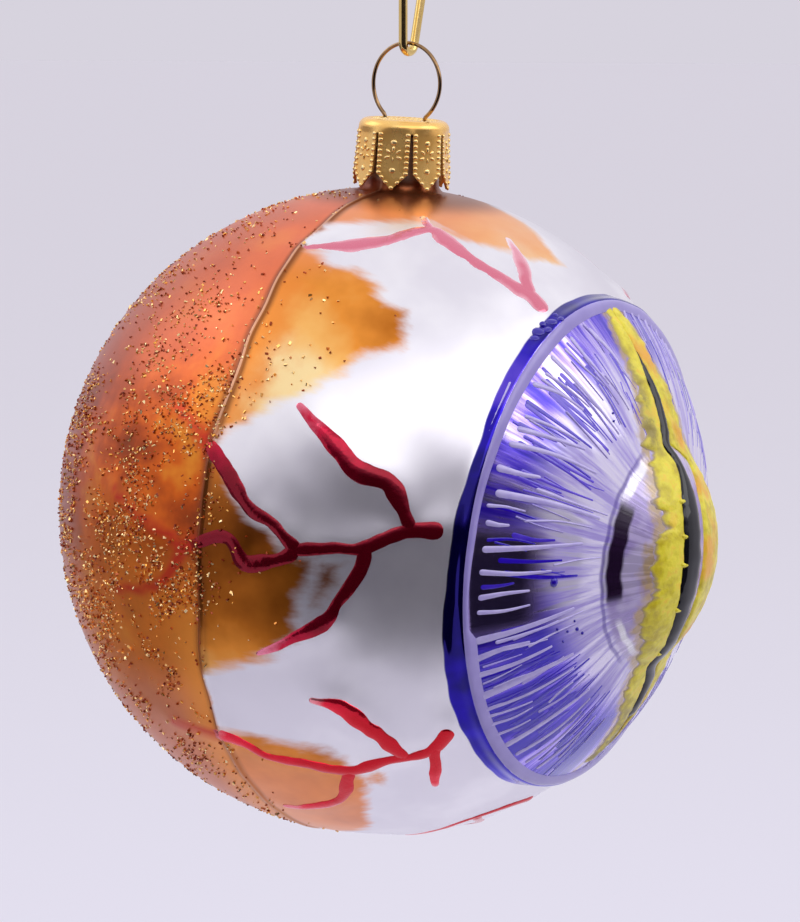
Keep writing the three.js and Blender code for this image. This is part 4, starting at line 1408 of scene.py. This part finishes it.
def crown_cap():
    rim = CAP_TOP_DIAMETER / 2 - SHOULDER
    heights = np.linspace(cap_top - SHOULDER, tip_height, 22)
    outside = [(float(cap_outline(h)), h) for h in heights]
    inside = [(radius - CAP_SHEET, h) for radius, h in reversed(outside)]
    profile = [
        (0, cap_top - TOP_DISH), (rim - 0.55, cap_top - TOP_DISH), (rim - 0.4, cap_top - 0.2),
        (rim - 0.28, cap_top - 0.22), (rim - 0.14, cap_top - 0.08),
        *arc(rim, cap_top - SHOULDER, SHOULDER, QUARTER_TURN, 0, 8)[:-1], *outside, *inside,
        *arc(rim, cap_top - SHOULDER, SHOULDER - CAP_SHEET, 0, QUARTER_TURN, 6)[1:-1],
        (rim - 0.4, cap_top - CAP_SHEET - 0.22), (0, cap_top - CAP_SHEET - TOP_DISH),
    ]
    shell = spun(profile, CAP_STEPS)
    for vert in shell.verts:
        turn = math.atan2(vert.co.y, vert.co.x)
        scale = leaf_flatness(turn, vert.co.z)
        vert.co.x *= scale
        vert.co.y *= scale

    pitch = HALF_TURN * CAP_TIP_DIAMETER / LEAF_COUNT
    corner = tip_height + (pitch - LEAF_SLOT) / 2
    drop_to = (pitch - LEAF_SLOT) / 2 + CLEARANCE * 2
    narrow, wide = LEAF_SLOT * 0.36, LEAF_SLOT * 0.74
    outline = [
        (-narrow, band_height), (-wide, corner), (-wide - drop_to, corner - drop_to),
        (wide + drop_to, corner - drop_to), (wide, corner), (narrow, band_height), (0, band_height + narrow),
    ]
    for index in range(LEAF_COUNT):
        slot = bmesh.new()
        face = slot.faces.new([slot.verts.new((x, NECK_DIAMETER / 4, z)) for x, z in outline])
        pushed = bmesh.ops.extrude_face_region(slot, geom=[face])["geom"]
        moved = [v for v in pushed if isinstance(v, bmesh.types.BMVert)]
        bmesh.ops.translate(slot, verts=moved, vec=(0, CAP_TIP_DIAMETER, 0))
        bmesh.ops.recalc_face_normals(slot, faces=slot.faces)
        slot.transform(Matrix.Rotation(index * 2 * HALF_TURN / LEAF_COUNT, 4, "Z"))
        shell = cut_shape(shell, slot, "DIFFERENCE")
    hole_radius = SPRING_WIRE / 2 + CLEARANCE
    for side in (-1, 1):
        hole = bmesh.new()
        bmesh.ops.create_cone(
            hole, cap_ends=True, segments=24, radius1=hole_radius, radius2=hole_radius, depth=3,
            matrix=Matrix.Translation((0, side * HOLE_SPACING / 2, cap_top)),
        )
        shell = cut_shape(shell, hole, "DIFFERENCE")
    piece = finish_piece(
        "stamped_crown_cap", shell, "cap", [cap_gold], ["crown_cap"],
        place=hung @ turned_cap, sharp=40,
    )
    bevel = piece.modifiers.new("worn edge", "BEVEL")
    bevel.width = 0.05 * MM
    bevel.segments = 2
    bevel.limit_method = "ANGLE"
    bevel.angle_limit = math.radians(50)


def cap_point(leaf, across, height):
    """A point on a leaf and the way that it faces."""
    centre = QUARTER_TURN + (leaf + 0.5) * 2 * HALF_TURN / LEAF_COUNT
    radius = float(cap_outline(height))
    turn = centre + math.atan2(across, radius)
    radius *= leaf_flatness(turn, height)
    facing = centre + (turn - centre) * (1 - FLATTENING)
    return Vector((radius * math.cos(turn), radius * math.sin(turn), height)), facing


# How far the marks on the leaves stand out
BEAD_RISE = 0.17
# Rings of beads on the cap's top, as (radius, count), and the size of these beads
TOP_RINGS = [(0.55, 6), (1.2, 12), (1.85, 18), (2.5, 24), (3.15, 30), (3.75, 36)]
TOP_BEAD = (0.19, 0.19, 0.14, 1)


def cap_beads():
    """The stamped pattern: beads along each leaf's edges and tip, a flower on it, and rings on the top."""
    bead = bmesh.new()
    bmesh.ops.create_uvsphere(bead, u_segments=10, v_segments=7, radius=1)
    mesh = mesh_of("bead", bead)
    bm = bmesh.new()
    half_leaf = HALF_TURN * CAP_TIP_DIAMETER / LEAF_COUNT / 2 - LEAF_SLOT / 2
    corner = tip_height + half_leaf
    edge_row = half_leaf - 0.42
    # Marks on a leaf, as (across, height, length, width, turn): edges, tip, single beads, petals and stalk
    marks = [(side * edge_row, corner + 0.1 + 0.66 * k, 0.33, 0.25, 0) for side in (-1, 1) for k in range(8)]
    marks += [
        (side * edge_row * share, corner - half_leaf * (1 - share) * 0.86 + 0.05, 0.31, 0.23, side * 0.6)
        for side in (-1, 1) for share in (0.74, 0.42)
    ]
    marks.append((0, tip_height + 0.5, 0.3, 0.26, 0))
    marks += [(0, height, 0.42, 0.36, 0) for height in (band_height - 1.0, corner + 0.4)]
    flower = (band_height - 1.0 + corner + 0.45) / 2 + 0.1
    for away in np.radians((90, 38, 142, -18, 198)):
        marks.append((0.82 * math.cos(away), flower + 0.78 * math.sin(away), 0.38, 0.2, away))
    marks.append((0, flower - 0.5, 0.34, 0.09, -QUARTER_TURN))
    upright = Matrix.Rotation(QUARTER_TURN, 4, "Y")
    for leaf in range(LEAF_COUNT):
        for across, height, length, width, turn in marks:
            point, facing = cap_point(leaf, across, height)
            turned = Matrix.Rotation(QUARTER_TURN + turn, 4, "Z")
            face_out = Matrix.Translation(point) @ Matrix.Rotation(facing, 4, "Z") @ upright
            stamp(bm, mesh, face_out @ turned @ Matrix.Diagonal((length, width, BEAD_RISE, 1)))
    rim = CAP_TOP_DIAMETER / 2 - SHOULDER - 0.55
    for radius, count in TOP_RINGS:
        for k in range(count):
            turn = 2 * HALF_TURN * (k + 0.5 * (count // 6 % 2)) / count
            x, y = radius * math.cos(turn), radius * math.sin(turn)
            if radius < rim and math.hypot(x, abs(y) - HOLE_SPACING / 2) > SPRING_WIRE + CLEARANCE:
                stamp(bm, mesh, Matrix.Translation((x, y, cap_top - TOP_DISH)) @ Matrix.Diagonal(TOP_BEAD))
    bpy.data.meshes.remove(mesh)
    finish_piece("cap_beads", bm, "cap", [bead_gold], place=hung @ turned_cap)


crown_cap()
cap_beads()


# Wires

WIRE_SIDES = 16


def drawn_wire(name, line, binormal, diameter, body, finish, nodes, place):
    """Round wire along a flat line of points; binormal is square to the line's plane."""
    line = np.array(line)
    along = unit(np.gradient(line, axis=0))
    across = np.cross(binormal, along)
    turn = np.linspace(0, 2 * HALF_TURN, WIRE_SIDES + 1)[:, None]
    radius, edge = diameter / 2, diameter * 0.12
    # Rings of the rounded ends, as (radius, how far along)
    first_end = ((0, 0), (radius - edge, 0), (radius, edge))
    last_end = ((radius, -edge), (radius - edge, 0), (0, 0))
    plain = [((radius, 0),)] * (len(line) - 2)
    rings = []
    for point, forward, side, steps in zip(line, along, across, [first_end, *plain, last_end]):
        outward = np.cos(turn) * side + np.sin(turn) * np.array(binormal)
        rings += [point + forward * push + reach * outward for reach, push in steps]
    bm = bmesh.new()
    skin(bm, rings)
    finish_piece(name, bm, body, [finish], nodes, place=place, sharp=60)


def spring_ring():
    hole = HOLE_SPACING / 2
    leg_end = BORE_DIAMETER / 2 - SPRING_WIRE / 2 - CLEARANCE
    splay = math.asin((leg_end - hole) / LEG_LENGTH)
    ring = arc(0, ring_centre, ring_radius, QUARTER_TURN, -ring_opening, 60)
    bend = arc(hole + LEG_BEND, hole_height, LEG_BEND, HALF_TURN - ring_opening, HALF_TURN + splay, 12)[1:]
    across, height = bend[-1]
    leg = [(across + share * LEG_LENGTH * math.sin(splay), height - share * LEG_LENGTH * math.cos(splay))
           for share in (0.25, 0.5, 0.75, 1)]
    half = [(0, y, z) for y, z in (*ring, *bend, *leg)]
    line = [(0, -y, z) for _, y, z in reversed(half[1:])] + half
    drawn_wire(
        "spring_ring", line, (1, 0, 0), SPRING_WIRE, "loop", ring_gold, ["hanger_wire"],
        hung @ turned_cap,
    )


def wire_hook():
    flare = math.radians(FREE_FLARE)
    small = arc(0, SMALL_BEND, SMALL_BEND, -flare, -HALF_TURN, 24)
    free_x, free_z = small[0]
    free = [(free_x + length * math.sin(flare), free_z + length * math.cos(flare))
            for length in np.linspace(FREE_LENGTH, 0, 7)[:-1]]
    arch_z = HOOK_HEIGHT - ARCH_RADIUS
    sway = math.acos(1 - (ARCH_RADIUS + SMALL_BEND) / (2 * SHANK_BEND))
    shank_top = arch_z - 2 * SHANK_BEND * math.sin(sway)
    lower = arc(SHANK_BEND - SMALL_BEND, shank_top, SHANK_BEND, HALF_TURN, HALF_TURN - sway, 16)
    upper = arc(ARCH_RADIUS - SHANK_BEND, arch_z, SHANK_BEND, -sway, 0, 16)[1:]
    arch = arc(0, arch_z, ARCH_RADIUS, 0, HALF_TURN, 40)[1:]
    tip = [(-ARCH_RADIUS - length * math.sin(math.radians(TIP_FLARE)) * length / TIP_LENGTH, arch_z - length)
           for length in np.linspace(0, TIP_LENGTH, 7)[1:]]
    start, end = small[-1], lower[0]
    shank = [(start[0], z) for z in np.linspace(start[1], end[1], 10)[1:-1]]
    line = [(x, 0, z) for x, z in (*free, *small, *shank, *lower, *upper, *arch, *tip)]
    drawn_wire(
        "wire_hook", line, (0, 1, 0), HOOK_WIRE, "hook", hook_gold, ["ornament_hook"],
        hook_place,
    )


spring_ring()
wire_hook()


# Studio: pale paper in a pale room, three soft lamps, and two cards that the lacquer reflects.
# Turns and rises are in degrees and lengths in metres here.

VIEW_TURN, VIEW_RISE, VIEW_DISTANCE = -59.2, 7.5, 0.45
FOCAL_LENGTH, SENSOR = 141.67, 36
AIM_RIGHT, AIM_UP = 0.00206, 0.00605
FLOOR_SIZE, FLOOR_DROP = 120, 0.5
CARD_ROLL = -7
# Each lamp: its turn from the camera's, its rise, its width and height, and its watts
LAMPS = {
    "window_softbox": (22, 41, 1.2, 0.5, 1.9),
    "gaze_softbox": (80, 32, 0.6, 0.5, 1.3),
    "side_softbox": (-104, 38, 0.6, 0.5, 1.15),
}
LAMP_DISTANCE = 0.9

ball_centre = hung.translation


def bearing(turn, rise):
    """The direction at an azimuth and elevation in degrees."""
    turn, rise = math.radians(turn), math.radians(rise)
    return Vector((math.sin(turn) * math.cos(rise), -math.cos(turn) * math.cos(rise), math.sin(rise)))


def look(thing, place, target, roll=0):
    thing.location = place
    thing.rotation_mode = "QUATERNION"
    facing = (target - place).to_track_quat("-Z", "Y")
    thing.rotation_quaternion = facing @ Quaternion((0, 0, 1), math.radians(roll))


def studio_plane(name, width, height, material):
    bm = bmesh.new()
    bmesh.ops.create_grid(bm, x_segments=1, y_segments=1, size=0.5)
    bmesh.ops.scale(bm, vec=(width, height, 1), verts=bm.verts)
    mesh = mesh_of(name, bm)
    mesh.materials.append(material)
    plane = new_object(name, mesh)
    return plane


def camera():
    data = bpy.data.cameras.new("camera")
    data.lens, data.sensor_width = FOCAL_LENGTH, SENSOR
    data.clip_start, data.clip_end = 0.01, 200
    made = new_object("camera", data)
    towards_camera = bearing(VIEW_TURN, VIEW_RISE)
    right = Vector((0, 0, 1)).cross(towards_camera).normalized()
    up = towards_camera.cross(right)
    look(made, ball_centre + VIEW_DISTANCE * towards_camera, ball_centre + AIM_RIGHT * right + AIM_UP * up)
    bpy.context.scene.camera = made


# Pale paper that the ornament hangs over, with a painted pool of light that makes it a little brighter below
# it
def studio_paper():
    material, tree, shader = new_finish("pale_studio_paper")
    place = object_place(tree)
    away = vector_maths("LENGTH", place, output="Value")
    nearness = maths("DIVIDE", 1, maths("MAXIMUM", away, 0.5))
    # Painted pool of light: paler near the ornament, duller far off
    near = mask(mottled(nearness, speckle(place, 3, 2), 0.02), 0.04, 0.6)
    plug(shader, {"Base Color": blended(near, "#E2DFE6", "#EEECF6"), "Roughness": 0.9})
    return material


# Dull cloth on a card, paler towards its upper edge where a pale colour is given
def card_cloth(name, dark, light, pale_edge=None):
    material, tree, shader = new_finish(name)
    place = object_place(tree)
    cloth = blended(speckle(place, 40, 2), dark, light)
    if pale_edge:
        cloth = blended(mask(axis_of(place, "Y"), 0.2, 0.5), cloth, pale_edge)
    plug(shader, {"Base Color": cloth, "Roughness": 1.0})
    return material


def reflected_card(name, cloth, width, height, turn, rise, distance):
    """A card that only reflections show."""
    card = studio_plane(name, width, height, cloth)
    look(card, ball_centre + distance * bearing(VIEW_TURN + turn, rise), ball_centre, CARD_ROLL)
    card.visible_camera = False
    card.visible_shadow = False


def soft_lamp(name, turn, rise, width, height, power):
    light = bpy.data.lights.new(name, "AREA")
    light.shape = "RECTANGLE"
    light.size, light.size_y = width, height
    light.energy = power
    look(new_object(name, light), ball_centre + LAMP_DISTANCE * bearing(VIEW_TURN + turn, rise), ball_centre)


def pale_room():
    world = bpy.data.worlds.new("pale_room")
    world.use_nodes = True
    tree = world.node_tree
    tree.nodes.clear()
    height = axis_of(add(tree, "ShaderNodeTexCoord").outputs["Generated"], "Z")
    sky = blended(mask(height, 0.03, 0.6), "#D7D3DE", "#F4F2F8")
    background = add(tree, "ShaderNodeBackground", {"Color": sky, "Strength": 1.0})
    add(tree, "ShaderNodeOutputWorld", {"Surface": background.outputs[0]})
    bpy.context.scene.world = world


camera()
studio_plane("floor", FLOOR_SIZE, FLOOR_SIZE, studio_paper()).location = (0, 0, ball_centre.z - FLOOR_DROP)
dark_cloth = card_cloth("dark_opening", "#1C1824", "#2A2432", "#CFCBD6")
grey_cloth = card_cloth("grey_cloth", "#7C7882", "#888490")
reflected_card("dark_card", dark_cloth, 2.05, 1.0, turn=13, rise=-10, distance=0.62)
reflected_card("grey_card", grey_cloth, 1.0, 0.6, turn=-105, rise=-22, distance=0.75)
for name, values in LAMPS.items():
    soft_lamp(name, *values)
pale_room()
bpy.context.scene.view_settings.view_transform = "Standard"
